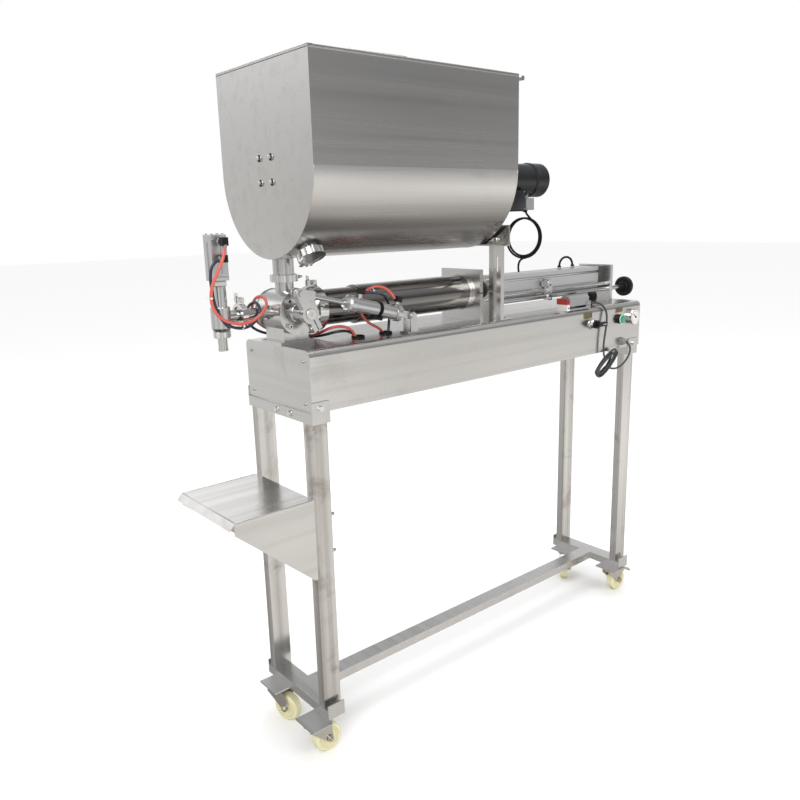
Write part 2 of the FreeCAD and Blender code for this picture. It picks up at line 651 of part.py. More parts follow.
def actuator():
    """Everything on the actuator is drawn along +X from the rear pivot, then turned to the clevis."""
    lean = math.radians(S.arm_lean.value)
    pin_x = S.valve_at.value - S.arm_radius.value * math.sin(lean)
    pin_z = S.valve_axis.value + S.arm_radius.value * math.cos(lean)
    run = math.hypot(pin_x - S.pivot_at.value, pin_z - S.pivot_height.value)
    angle = math.degrees(math.atan2(pin_z - S.pivot_height.value, pin_x - S.pivot_at.value))
    turn = Rotation(Vector(0, 1, 0), -angle)
    y = S.actuator_side
    at = (along_x(S.pivot_at), y, S.pivot_height)
    near = S.barrel_near
    far = near + S.barrel_long
    r, cap = S.barrel_radius, S.barrel_cap
    tube = lathe(
        [(near, 0), (near, cap), (near + 14, cap), (near + 14, r), (far - 22, r), (far - 22, cap), (far - 4, cap),
         (far, cap - 4), (far, 11), (far + 8, 11), (far + 8, S.rod_radius + S.fit_gap),
         (near + 10, S.rod_radius + S.fit_gap), (near + 10, 0)],
        (0, 0, 0), "X")
    eye = cut(
        fuse(rod(9, 16, (0, -8, 0), "Y"), box((0, -8, -9), (near, 8, 9))),
        rod(5 + S.running_gap, 20, (0, -10, 0), "Y"))
    bore = rod(r - 2, far - near - 34, (near + 12, 0, 0), "X")
    elbows = []
    rear_port = near + 8
    for spot in (rear_port, far - 37):
        seat = cap if spot is rear_port else r
        post = rod(5, cap + 10 - seat, (spot, 0, 0.2 - seat), turn=Rotation(Vector(1, 0, 0), 180))
        elbows.append(fuse(post, box((spot - 8, -7, -cap - 20), (spot + 8, 7, -cap - 6))))
    barrel = group(fuse(cut(tube, bore), eye), *elbows)
    place(barrel, at, turn)
    node("actuator_barrel", barrel)
    clear = (S.arm_inner - S.arm_outer) / 2 + 0.6
    length = Size(run, repr(run))
    piston = rod(r - 2 - 0.2, 12, (far - 44, 0, 0), "X")
    bar = rod(S.rod_radius, length - 34 - far + 40, (far - 40, 0, 0), "X")
    cheeks = [box((length - 30, clear, -11), (length, clear + 4, 11)), box((length - 30, -clear - 4, -11), (length, -clear, 11))]
    ends = [
        rod(13, 4, (length, clear, 0), "Y"), rod(13, 4, (length, -clear, 0), "-Y"),
        rod(7, 5, (length, clear + 4, 0), "Y"), rod(8, 5, (length, -clear - 4, 0), "-Y"),
    ]
    yoke = box((length - 36, -clear - 4, -11), (length - 28, clear + 4, 11))
    nut = rod(10, 7, (length - 42, 0, 0), "X")
    clevis = group(fuse(piston, bar, nut, yoke, *cheeks, *ends))
    place(clevis, at, turn)
    node("actuator_rod", clevis)
    x = at[0]
    z = S.pivot_height
    top = S.beam_top
    lugs = []
    for low in (-15, 11):
        lugs.append(prism([(-9, top), (17, top), (8, z + 6), (3, z + 10), (-4, z + 9), (-9, z + 5)], 4, (x, y + low + 4, 0), "XZ_Plane"))
    base = box((x - 20, y - 15, top), (x + 19, y + 15, top + 4))
    pin = rod(5, 38, (x, y - 19, z), "Y")
    node("actuator_bracket", fuse(*lugs, base, pin, rod(8, 4, (x, y - 19, z), "Y")))


def pipework():
    x = along_x(S.valve_at)
    top = S.hopper_axis - S.hopper_half
    r, wall = S.inlet_radius, S.inlet_wall
    start = S.inlet_clamp
    rise = top - start
    pipe = lathe(
        [(0, r - wall), (0, S.clamp_radius - 6), (5, S.clamp_radius - 6), (5, r), (rise, r), (rise, r - wall)],
        (x, 0, start))
    node("outlet_pipe", pipe)
    clamps = []
    clamps.append(clamp(S.clamp_radius, S.clamp_radius - 6, S.clamp_wide, (x, 0, start), "Z"))
    mid = S.dose_axis
    clamps.append(clamp(S.dose_neck + 11, S.dose_neck + 4, 24, (along_x(S.dose_front - 8), 0, mid), "X"))
    clamps.append(clamp(27, 20, 14, (along_x(-86), 0, S.nozzle_axis), "X"))
    clamps.append(clamp(S.clamp_radius, 25, S.clamp_wide, drain_point(15), "drain"))
    node("pipe_clamps", group(*clamps))
    stub = rod(22, 22, drain_point(0), turn=drain_turn())
    flange = rod(25, 11, drain_point(11), turn=drain_turn())
    node("drain_port", fuse(stub, flange))
    pipe_r = S.nozzle_pipe_radius
    start = along_x(-86)
    first = S.nozzle_at + S.tee_radius
    tube = cut(
        fuse(rod(pipe_r, S.valve_at - S.valve_radius - 8 - first, (along_x(first), 0, S.nozzle_axis), "X"),
             rod(20, 8, (start - 4, 0, S.nozzle_axis), "X")),
        rod(pipe_r - 2, 200, (along_x(first) - 1, 0, S.nozzle_axis), "X"))
    node("nozzle_pipe", tube)


def clamp(outer, inner, wide, at, along):
    """A hinged clamp: two half rings, ears, hinge and a wing nut, as one closed ring."""
    half = wide / 2
    hold = group(fuse(
        cut(rod(outer, wide, (0, 0, -half)), rod(inner, wide + 2, (0, 0, -half - 1))),
        cut(box((-8, outer - 2, -half), (8, outer + 14, half)), box((-2, outer + 1, -half - 1), (2, outer + 20, half + 1))),
        rod(3.5, 36, (-16, outer + 8, 0), "X"),
        box((12, outer + 2, -3), (18, outer + 22, 3)),
        rod(3.5, wide, (0, -outer - 1.5, -half)),
    ))
    turns = {
        "Z": Rotation(Vector(0, 0, 1), -60),
        "X": Rotation(Vector(0, 1, 0), 90) * Rotation(Vector(0, 0, 1), 90),
        "drain": drain_turn() * Rotation(Vector(0, 0, 1), 200),
    }
    return place(hold, at, turns[along])


def nozzle():
    x, z = along_x(S.nozzle_at), S.nozzle_axis
    tip, nut, tee, top = S.nozzle_tip_end, S.nozzle_nut_top, S.tee_radius, S.tee_top
    low = S.nozzle_cylinder_bottom
    r = S.nozzle_tip_radius
    outer = lathe(
        [(tip, 0), (tip, r), (nut - 18, r), (nut - 17, 17.5), (nut - 3, 17.5), (nut, tee - 3), (nut + 5, tee),
         (top - 2, tee), (top, tee - 2), (top, S.nozzle_neck), (low, S.nozzle_neck), (low, 0)],
        (x, 0, 0))
    side = rod(S.nozzle_pipe_radius, tee, (x, 0, z), "X")
    node("nozzle_body", cut(
        fuse(outer, side), rod(r - 2, top - tip - 16, (x, 0, tip - 1)), rod(13, top - nut - 10, (x, 0, nut + 2)),
        rod(S.stem_radius + S.fit_gap, low - tip + 10, (x, 0, tip)),
        rod(S.nozzle_pipe_radius - 2, tee + 2, (x, 0, z), "X"),
    ))
    half = S.nozzle_cylinder_wide / 2
    high = S.nozzle_cylinder_top
    shell = box((x - half, -half, low), (x + half, half, high))
    grooves = []
    for side in (-1, 1):
        y = half * side
        grooves.append(box((x - 4, y - 2, low + 16), (x + 4, y + 2, high - 16)))
        grooves.append(box((x + y - 2, -4, low + 16), (x + y + 2, 4, high - 16)))
    node("nozzle_cylinder", cut(
        shell, rod(15, high - low - 20, (x, 0, low + 10)), rod(S.stem_radius + S.fit_gap, 20, (x, 0, low - 1)),
        *grooves,
    ))
    stem = fuse(
        rod(S.stem_radius, low + 40 - tip - 4, (x, 0, tip + 4)),
        rod(r - 2 - 0.3, 10, (x, 0, tip + 1)),
        rod(15 - 0.2, 12, (x, 0, low + 28)),
    )
    node("nozzle_stem", stem)


def dosing():
    axis = S.dose_axis
    front = along_x(S.dose_front)
    step, end = S.dose_step - S.dose_front, S.dose_end - S.dose_front
    bore = S.dose_bore
    node("product_cylinder", lathe(
        [(-8, bore), (-8, S.dose_neck + 4), (-2, S.dose_neck + 4), (-2, S.dose_neck), (step, S.dose_neck), (step, S.dose_outer),
         (end, S.dose_outer), (end, bore)],
        (front, 0, axis), "X"))
    rod_r = S.piston_rod_radius
    x = along_x(S.dose_end)
    half, gauge = S.clamp_plate_half, S.plate_gauge
    slit = box((x - 1, -half - 1, axis - 1.5), (x + gauge + 1, -half + 24, axis + 1.5))
    first = cut(
        box((x, -half, S.beam_top), (x + gauge, half, S.clamp_plate_top)),
        rod(rod_r + 4, gauge + 2, (x - 1, 0, axis), "X"), slit)
    x = along_x(S.mount_plate_at)
    half = S.mount_plate_half
    second = cut(
        box((x, -half, S.beam_top), (x + gauge, half, S.mount_plate_top)),
        rod(S.boss_radius - 6, gauge + 2, (x - 1, 0, axis), "X"),
        rod(S.screw_radius + S.fit_gap, gauge + 2, (x - 1, S.guide_side, S.screw_height), "X"))
    x = along_x(S.mount_plate_at + gauge + S.air_length)
    half = S.end_plate_half
    third = cut(
        box((x, -half, S.beam_top), (x + gauge, half, S.mount_plate_top)),
        rod(S.screw_radius + S.fit_gap, gauge + 2, (x - 1, S.guide_side, S.screw_height), "X"))
    guide = rod(S.guide_radius, S.air_length, (along_x(S.mount_plate_at + gauge), S.guide_side, S.guide_height), "X")
    node("cylinder_plates", group(first, second, third, guide))

    start = S.mount_plate_at + gauge
    x = along_x(start)
    wide = S.air_wide / 2
    cap = S.air_cap
    front_cap = cut(
        fuse(box((x, -wide, axis - wide), (x + cap, wide, axis + wide)), rod(S.boss_radius - 6.5, gauge, (x, 0, axis), "-X"),
             rod(S.boss_radius, 12, (x - gauge, 0, axis), "-X")),
        rod(rod_r + S.fit_gap, cap + gauge + 30, (x - gauge - 14, 0, axis), "X"))
    back = x + S.air_length - cap
    rear_cap = box((back, -wide, axis - wide), (back + cap, wide, axis + wide))
    node("air_cylinder_caps", group(front_cap, rear_cap))
    skin = box((x + cap, -wide, axis - wide), (back, wide, axis + wide))
    grooves = []
    for side in (-1, 1):
        for shift in (-22, 22):
            face = wide * side
            grooves.append(box((x + cap - 1, face - 3, axis + shift - 4), (back + 1, face + 3, axis + shift + 4)))
            grooves.append(box((x + cap - 1, shift - 4, axis + face - 3), (back + 1, shift + 4, axis + face + 3)))
    node("air_cylinder_barrel", cut(skin, rod(S.air_bore, S.air_length, (x, 0, axis), "X"), *grooves))

    piston = front + 14
    air_piston = x + cap + 8
    piston_set = fuse(
        lathe([(0, 0), (0, bore - 4), (6, bore - S.running_gap), (34, bore - S.running_gap), (40, bore - 4), (40, 0)],
              (piston, 0, axis), "X"),
        rod(rod_r, air_piston - piston, (piston, 0, axis), "X"),
        rod(S.air_bore - S.running_gap, 30, (air_piston, 0, axis), "X"),
    )
    node("piston_and_rod", piston_set)

    side = S.guide_side
    plate_end = x + S.air_length + gauge
    screw_start = x - gauge + 2
    node("lead_screw", fuse(
        rod(S.screw_radius, S.air_length + gauge * 2 - 2 + S.wheel_gap, (screw_start, side, S.screw_height), "X"),
        rod(10, 8, (plate_end + 1, side, S.screw_height), "X")))
    hub = plate_end + S.wheel_gap
    wide, r, s = S.handwheel_wide, S.handwheel_radius, S.screw_radius + 0.02
    wheel = lathe(
        [(-8, s), (-8, 12), (0, 13), (3, 20), (0, 26), (2, r), (wide - 2, r), (wide, r - 3), (wide - 5, 24), (wide - 3, 10),
         (wide - 3, 0), (2, 0), (2, s)],
        (hub, side, S.screw_height), "X")
    node("handwheel", wheel)
    x = along_x(S.block_at)
    long, half = S.block_long, S.block_half
    node("stroke_block", cut(
        fuse(box((x, side - half, S.block_bottom), (x + long, side + half, S.block_top)),
             rod(9, 14, (x, side, S.block_top - 12), "-X")),
        rod(S.guide_radius + 0.1, long + 2, (x - 1, side, S.guide_height), "X"),
        rod(S.screw_radius + 0.1, long + 2, (x - 1, side, S.screw_height), "X")))


def panel():
    face = -S.beam_half
    x, z = along_x(S.selector_at), S.selector_height
    base = fuse(rod(15, 3, (x, face, z), "-Y"), cone(14, 11, 9, (x, face - 3, z), "-Y"))
    bezel_x, bezel_z = along_x(S.button_at), S.button_height
    bezel = cut(rod(15, 12, (bezel_x, face, bezel_z), "-Y"), rod(11.3, 14, (bezel_x, face - 1.5, bezel_z), "-Y"))
    dial = fuse(
        rod(23, 10, (along_x(S.gauge_at), face, S.gauge_height), "-Y"),
        rod(25, 3, (along_x(S.gauge_at), face - 9, S.gauge_height), "-Y"))
    gland = fuse(
        rod(11, 6, (along_x(S.gland_at), face, S.gland_height), "-Y"),
        rod(8, 12, (along_x(S.gland_at), face - 6, S.gland_height), "-Y"))
    labels = [
        box((along_x(S.selector_at - 40), face - 0.8, S.selector_height + 20),
            (along_x(S.selector_at - 4), face, S.selector_height + 38)),
        box((along_x(S.button_at - 18), face - 0.8, S.button_height + 22),
            (along_x(S.button_at + 14), face, S.button_height + 36)),
    ]
    node("panel_fittings", group(base, bezel, dial, gland, *labels))
    hub = face - 12 - S.running_gap
    node("selector_knob", fuse(rod(13, 10, (x, hub, z), "-Y"), box((x - 8, hub - 22, z - 6), (x + 34, hub - 8, z + 6))))
    node("start_button", fuse(
        rod(11, 7, (bezel_x, face - 6, bezel_z), "-Y"), rod(10, 2, (bezel_x, face - 13, bezel_z), "-Y")))


def foot_switch():
    """The base with its two end blocks, and the treadle that turns on a pin at the rear."""
    x, y, z = along_x(S.pedal_front), S.pedal_middle, S.beam_top
    long, half, high = S.pedal_long, S.pedal_wide / 2, S.pedal_high
    pin_x, pin_z, pin = long - 14, 13, S.pedal_pin
    parts = [
        box((x + 12, y - half, z), (x + long, y + half, z + 5)),
        box((x + long - 4, y - half, z), (x + long, y + half, z + 24)),
        rod(6, 10, (x + long, y, z + 12), "X"),
    ]
    cheek = [(pin_x - 8, 4), (long, 4), (long, 21), (pin_x - 4, 21)]
    for side in (-1, 1):
        low = half - 2.5 if side > 0 else -half
        parts.append(prism(cheek, 2.5, (x, y + low + 2.5, z), "XZ_Plane"))
    parts.append(rod(pin, half * 2, (x + pin_x, y - half, z + pin_z), "Y"))
    lower = box((x, y - half, z), (x + 12, y + half, z + 19))
    upper = box((x, y - half, z + 19), (x + 12, y + half, z + 36))
    node("foot_switch_base", group(fuse(*parts), lower, upper))
    wide = half - 2.5 - S.running_gap
    outline = [
        (-wide, z + 12), (wide, z + 12), (wide, z + high - 2), (wide - 7, z + high + 5), (7 - wide, z + high + 5),
        (-wide, z + high - 2),
    ]
    body = prism(outline, long - 20, (x + 15, y, 0), "YZ_Plane")
    node("foot_switch_pedal", cut(body, rod(pin + S.fit_gap, wide * 2 + 2, (x + pin_x, y - wide - 1, z + pin_z), "Y")))


def regulator():
    x, y, z = along_x(S.regulator_at), S.regulator_side, S.beam_top
    r, high = S.regulator_radius, S.regulator_high
    node("regulator_knob", lathe(
        [(8.3, 0), (8.3, r), (13, r + 1), (16, r - 2), (high - 4, r), (high, r - 3), (high, 0)], (x, y, z)))


# ---------------------------------------------------------------- cords
def cord_path(points, radius):
    """Straight runs joined by tangent arcs, each arc as large as its two runs allow."""
    spots = [Vector(*p) for p in points]
    edges, radii, start = [], [], spots[0]
    for before, here, after in zip(spots, spots[1:], spots[2:]):
        incoming, outgoing = (here - before), (after - here)
        turn = incoming.getAngle(outgoing)
        shorter = min(incoming.Length, outgoing.Length)
        trim = 0.45 * shorter
        radii.append(trim / math.tan(turn / 2))
        a = here - incoming.normalize() * trim
        b = here + outgoing.normalize() * trim
        bend = (here - (a + b) / 2).normalize()
        sagitta = radii[-1] * (1 - math.cos(turn / 2))
        middle = (a + b) / 2 + bend * sagitta
        edges.append(Part.makeLine(start, a))
        edges.append(Part.Arc(a, middle, b).toShape())
        start = b
    edges.append(Part.makeLine(start, spots[-1]))
    return Part.Wire(edges), radii


def tube(name, points, radius):
    """A round tube along a route, checked against its section times its length."""
    path, radii = cord_path(points, radius)
    first = path.Edges[0]
    section = Part.Wire([Part.makeCircle(radius, Vector(*points[0]), first.tangentAt(first.FirstParameter))])
    made = path.makePipeShell([section], True, False)
    expected = math.pi * radius ** 2 * path.Length
    print(f"{name}: length {path.Length:.0f}, smallest radius {min(radii):.1f}, volume {made.Volume / expected:.4f}")
    return made


def solid_feature(label, shape):
    made = doc.addObject("Part::Feature", "cord")
    made.Shape = shape
    return node(label, made)


def shifted(points):
    """A route measured back from the beam's front, moved to the machine's own frame."""
    return [(x - MIDDLE.value, y, z) for x, y, z in points]


NOZZLE_RED = [
    (-133.2, -40.3, 1275.2), (-139.1, -44.8, 1252.9), (-152.2, -44.3, 1227.2), (-164.7, -41.2, 1204.3),
    (-173.5, -38.9, 1179.7), (-175, -39.1, 1153.6), (-166.1, -40.6, 1129.3), (-146, -41.6, 1112.7),
    (-121.3, -40.7, 1103.9), (-95.4, -37.7, 1101.5), (-70.1, -34.5, 1107), (-47.4, -33.1, 1120.1),
    (-30.2, -28, 1138.8), (-28.1, -9.7, 1156.2), (-35, 14.1, 1154.2), (-36.7, 31.6, 1134.8),
    (-30.5, 46.8, 1114.5), (-17, 58.9, 1095.5), (1.9, 67, 1079.2), (24.5, 70.5, 1066.4),
    (49.1, 69.2, 1057.5), (73.5, 61.7, 1051.7), (93.5, 45.6, 1047.7), (105.1, 22.2, 1045.7),
    (110.9, -3.2, 1048.4), (114.6, -27.5, 1057.5), (122.8, -49.6, 1068.8), (143.6, -64, 1073.2),
    (168.2, -68.6, 1066.4), (188.7, -66.9, 1046.7), (194, -66.2, 1024),
]
NOZZLE_BLUE = [
    (-141.9, -31, 1247.1), (-161, -30.2, 1238.5), (-167.3, -28.1, 1211), (-165.7, -27.5, 1185.1),
    (-163.7, -28.7, 1159.2), (-158.8, -30.6, 1133.8), (-147, -31.9, 1110.9), (-125.9, -31.1, 1096.2),
    (-101, -27.8, 1090.2), (-75.9, -21.6, 1091.9), (-54.4, -18.5, 1105.2), (-43.7, -18.7, 1128.2),
    (-44, -0.9, 1145.3), (-49.4, 22.3, 1136.6), (-49.3, 40.7, 1118.4), (-41, 55.3, 1098.8),
    (-26.1, 67.2, 1081.2), (-6.2, 76.5, 1067.5), (17, 81.9, 1057.2), (41.9, 81.9, 1050),
    (66.6, 75.6, 1045.4), (88.6, 62.3, 1042.5), (104.9, 42.3, 1041.1), (116.1, 18.9, 1041.7),
    (124.2, -5.5, 1045.1), (133.2, -29, 1051.3), (150.6, -46.9, 1057.4), (174.6, -55.9, 1057.1),
    (198.1, -58.8, 1041.9), (204, -60.1, 1020.1),
]
MOTOR_LEAD = [
    (858, -30, 1337.3), (857.3, -32.6, 1330.9), (858.6, -37.9, 1323.3), (861, -41.8, 1318),
]
MOTOR_TAIL = [
    (836, -37.8, 1196.4), (827.5, -34.2, 1187.5), (826.8, -31.8, 1170.4), (831, -31, 1158),
]
PEDAL_LEAD = [
    (1050.9, -120.2, 1049.8), (1068, -121.1, 1051.5), (1087.3, -129.7, 1050.1), (1100.6, -140.9, 1042),
    (1107.2, -150.3, 1026.8), (1107.8, -154.3, 1008), (1105.8, -155.7, 988.8), (1102.8, -156, 969.7),
    (1099.5, -155.5, 950.6), (1096.6, -154.9, 931.5), (1095.1, -154.6, 912.2), (1096, -155.5, 891),
    (1099.4, -157.5, 874.1),
]
PEDAL_TAIL = [
    (1117, -157.8, 844.1), (1133, -158.8, 836.8), (1154.3, -159.8, 833.3), (1173.8, -160.7, 835.3),
    (1192.2, -161.8, 842), (1208.4, -163.3, 853), (1221.1, -165, 867.9), (1227.6, -166.2, 886.2),
    (1220.4, -165.4, 905.9), (1205.9, -162.5, 915.5),
]
ACTUATOR_RED = [
    (287.2, -57, 1024.5), (281.3, -59.9, 1043.2), (261.3, -63.2, 1056.9), (240.9, -65.3, 1065.9),
    (222.4, -66.7, 1078.4), (208.1, -67.9, 1095.6), (201.6, -69.8, 1116.7), (206.3, -73.2, 1138.2),
    (220, -77.9, 1155), (240.2, -83.5, 1162.4), (261.5, -89.3, 1159.5), (281, -95.2, 1145.9),
    (290.4, -99.2, 1128.7),
]
ACTUATOR_BLUE = [
    (289.3, -67.4, 1020.2), (291.7, -67.1, 1039.2), (297.4, -64.6, 1061.8), (300.2, -64, 1082.8),
    (297.4, -67.1, 1103.6), (288.7, -73.1, 1122), (274.3, -80.8, 1135.5), (256, -88.4, 1143),
    (236, -94.5, 1147), (213.1, -98.5, 1149.9), (194.2, -98.4, 1152.9),
]
PORT_HOSE = [
    (1085.9, 20, 1156.3), (1087.5, 20, 1169.5), (1098.5, 20, 1181.4), (1112.7, 20, 1186.1),
    (1127.6, 20, 1186), (1141.8, 20, 1181.2), (1153.1, 20, 1169.6), (1155.1, 20, 1156.4),
]


def cords():
    for name, route, radius in (
        ("nozzle_hose_red", NOZZLE_RED, S.hose_radius.value), ("nozzle_hose_blue", NOZZLE_BLUE, S.hose_radius.value),
        ("actuator_hose_red", ACTUATOR_RED, S.hose_radius.value),
        ("actuator_hose_blue", ACTUATOR_BLUE, S.hose_radius.value), ("port_hose", PORT_HOSE, S.hose_radius.value),
    ):
        solid_feature(name, tube(name, shifted(route), radius))
    lead = S.lead_radius.value
    motor = [tube("motor_lead", shifted(MOTOR_LEAD), lead), tube("motor_tail", shifted(MOTOR_TAIL), lead)]
    solid_feature("motor_lead", Part.makeCompound(motor))
    centre = Vector(843 - MIDDLE.value, -40, 1258)
    turned = math.radians(16)
    axis = Vector(math.sin(turned), math.cos(turned), 0)
    solid_feature("motor_lead_coil", Part.makeTorus(57, 6.5, centre, axis))
    pedal = [tube("pedal_lead", shifted(PEDAL_LEAD), lead), tube("pedal_tail", shifted(PEDAL_TAIL), lead)]
    solid_feature("pedal_lead", Part.makeCompound(pedal))
    hank = Part.makeBox(128, 22, 34, Vector(-64, -11, -17))
    hank = hank.makeFillet(9, hank.Edges)
    hank.Placement = Placement(Vector(1107 - MIDDLE.value, -158, 858), Rotation(Vector(0, 1, 0), -33))
    solid_feature("pedal_lead_hank", hank)


# ---------------------------------------------------------------- small hardware
def hose_fittings():
    x = along_x(S.nozzle_at + 2.5)
    face = -S.nozzle_cylinder_wide / 2
    parts = []
    parts.append(fuse(rod(5, 12, (x, face, S.nozzle_cylinder_top - 14), "-Y"),
                      box((x - 7, face - 27, S.nozzle_cylinder_top - 24), (x + 7, face - 12, S.nozzle_cylinder_top - 6))))
    parts.append(fuse(rod(5, 6, (x, face, S.nozzle_cylinder_bottom + 48), "-Y"),
                      box((x - 9, face - 18, S.nozzle_cylinder_bottom + 40), (x + 8, face - 5, S.nozzle_cylinder_bottom + 56))))
    for at in (S.grommet_one, S.grommet_two):
        parts.append(cut(
            fuse(rod(S.grommet_radius, 4, (along_x(at), S.grommet_side, S.beam_top)),
                 rod(S.grommet_hole + 1.8, 4, (along_x(at), S.grommet_side, S.beam_top - 4))),
            rod(S.grommet_hole, 12, (along_x(at), S.grommet_side, S.beam_top - 6))))
    top = S.dose_axis + S.air_wide / 2
    for at in (1086, 1155):
        parts.append(rod(6, 5, (along_x(Size(float(at), str(at))), 20, top)))
    parts.append(rod(S.regulator_radius - 3, 8, (along_x(S.regulator_at), S.regulator_side, S.beam_top)))
    node("hose_fittings", group(*parts))


def hardware():
    bolts = []
    leg_top = S.beam_bottom - S.bracket_high
    mid = leg_top + S.bracket_high / 2
    for side in (-1, 1):
        bolts.append(bolt((along_x(S.front_leg_at), 30 * side - 20, mid), "-X"))
        for start in (S.front_leg_at, S.rear_leg_at):
            along = "-Y" if side < 0 else "Y"
            ear = (S.beam_half + S.bracket_gauge) * side
            bolts.append(bolt((along_x(start + 25), ear, S.beam_bottom + 10), along))
        for height in (S.tray_top - 55, S.tray_top - 150):
            back = along_x(S.front_leg_at + S.leg_wide)
            bolts.append(bolt((back, (S.leg_outer - 12) * side, height), "X", 14))
    front = along_x(S.hopper_front)
    for y in (-25, 25):
        for z in (-27, 27):
            bolts.append(bolt((front, y - 5, S.hopper_axis + z), "-X"))
    rear = along_x(S.hopper_front) + S.hopper_length + S.saddle_offset + S.saddle_gauge + S.post_gauge
    for y in (-95, -115):
        bolts.append(bolt((rear, S.post_middle + (105 + y), S.saddle_bottom + 14), "X"))
    foot = rear - S.post_gauge + S.post_foot - 14
    bolts.append(bolt((foot, S.post_middle, S.beam_top + 4), "Z"))
    x = along_x(S.mount_plate_at)
    for y in (-28.25, 28.25):
        for z in (-28.25, 28.25):
            bolts.append(rod(5, 6, (x, y, S.dose_axis + z), "-X"))
    node("frame_bolts", group(*bolts))


frame()
casters()
tray()
hopper()
support()
gear_motor()
valve()
actuator()
pipework()
nozzle()
dosing()
panel()
foot_switch()
regulator()
hose_fittings()
hardware()
cords()
doc.recompute()

for thing in doc.Objects:
    if "Invalid" in thing.State or "Error" in thing.State:
        raise RuntimeError(f"{thing.Label} failed: {thing.State}")
os.makedirs("parts", exist_ok=True)
for thing in nodes:
    shape = thing.Shape
    if shape.isNull() or not shape.isValid():
        raise RuntimeError(f"{thing.Label} has a bad shape")
    shape.exportStep(f"parts/{thing.Label}.step")
    print(thing.Label, len(shape.Solids), round(shape.Volume))
print(len(nodes), "nodes")
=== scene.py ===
"""Piston liquid filler: the steel frame, the hopper and its agitator drive, the dosing cylinder, the
rotary valve with its air actuator, the nozzle, the hoses and the controls. Metres, +Z up, -X to the front."""
import math

import bpy
from mathutils import Matrix, Vector


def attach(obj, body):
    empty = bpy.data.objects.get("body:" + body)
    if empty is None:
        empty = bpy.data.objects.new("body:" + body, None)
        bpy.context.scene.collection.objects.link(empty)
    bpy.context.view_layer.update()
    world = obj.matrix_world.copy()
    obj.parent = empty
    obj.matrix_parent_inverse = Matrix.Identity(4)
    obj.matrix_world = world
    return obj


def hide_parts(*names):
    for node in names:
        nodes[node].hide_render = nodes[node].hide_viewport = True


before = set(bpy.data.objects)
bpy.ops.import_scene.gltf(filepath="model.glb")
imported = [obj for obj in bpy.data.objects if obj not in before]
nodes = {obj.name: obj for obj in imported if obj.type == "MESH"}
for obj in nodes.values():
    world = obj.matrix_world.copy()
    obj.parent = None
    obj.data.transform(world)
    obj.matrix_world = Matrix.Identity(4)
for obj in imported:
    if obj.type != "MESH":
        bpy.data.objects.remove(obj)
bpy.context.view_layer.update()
scene = bpy.context.scene
MIDDLE = 566.5


def at(back, side, height):
    """A point given in millimetres back from the beam's front, across and above the floor."""
    return ((back - MIDDLE) / 1000, side / 1000, height / 1000)


# ---------------------------------------------------------------- camera, floor and light
def camera():
    data = bpy.data.cameras.new("camera")
    view = bpy.data.objects.new("camera", data)
    scene.collection.objects.link(view)
    yaw, pitch, roll = math.radians(39.762), math.radians(13.384), math.radians(-1.547)
    turn = Matrix.Rotation(-yaw, 4, "Z") @ Matrix.Rotation(math.radians(90) - pitch, 4, "X")
    turn = turn @ Matrix.Rotation(roll, 4, "Z")
    view.matrix_world = Matrix.Translation(at(-922.3, -1566.6, 1321.5)) @ turn
    data.sensor_width = 36
    data.lens = 34.24
    data.clip_end = 200
    scene.camera = view


def area_light(name, place, aim, size, power, colour=(1, 1, 1), shines=True):
    data = bpy.data.lights.new(name, "AREA")
    data.shape = "RECTANGLE"
    data.size, data.size_y = size
    data.energy = power
    data.color = colour
    data.specular_factor = 0.35
    lamp = bpy.data.objects.new(name, data)
    scene.collection.objects.link(lamp)
    lamp.location = place
    lamp.rotation_euler = (Vector(aim) - Vector(place)).to_track_quat("-Z", "Y").to_euler()
    lamp.visible_glossy = shines


# The room that the steel reflects, from straight down to straight up: all round, and on the viewer's side,
# where it is dark at eye height.
ROOM = (
    (0.16, (0.15, 0.14, 0.13)), (0.25, (0.40, 0.385, 0.37)), (0.33, (0.76, 0.74, 0.715)), (0.44, (0.90, 0.885, 0.86)),
    (0.50, (0.60, 0.59, 0.58)), (0.565, (0.64, 0.64, 0.64)), (0.61, (1.0, 1.0, 1.0)), (0.67, (1.7, 1.7, 1.7)),
    (0.76, (0.42, 0.425, 0.43)),
    (0.88, (0.62, 0.63, 0.64)),
)
NEAR_ROOM = (
    (0.10, (0.12, 0.115, 0.11)), (0.15, (0.62, 0.59, 0.56)), (0.22, (0.84, 0.80, 0.76)), (0.31, (0.92, 0.89, 0.85)),
    (0.38, (1.0, 0.98, 0.95)),
    (0.44, (0.90, 0.885, 0.86)), (0.49, (0.70, 0.69, 0.68)), (0.525, (0.27, 0.27, 0.275)), (0.61, (0.24, 0.24, 0.245)),
    (0.68, (0.45, 0.45, 0.45)),
    (0.76, (0.42, 0.425, 0.43)), (0.88, (0.62, 0.63, 0.64)),
)


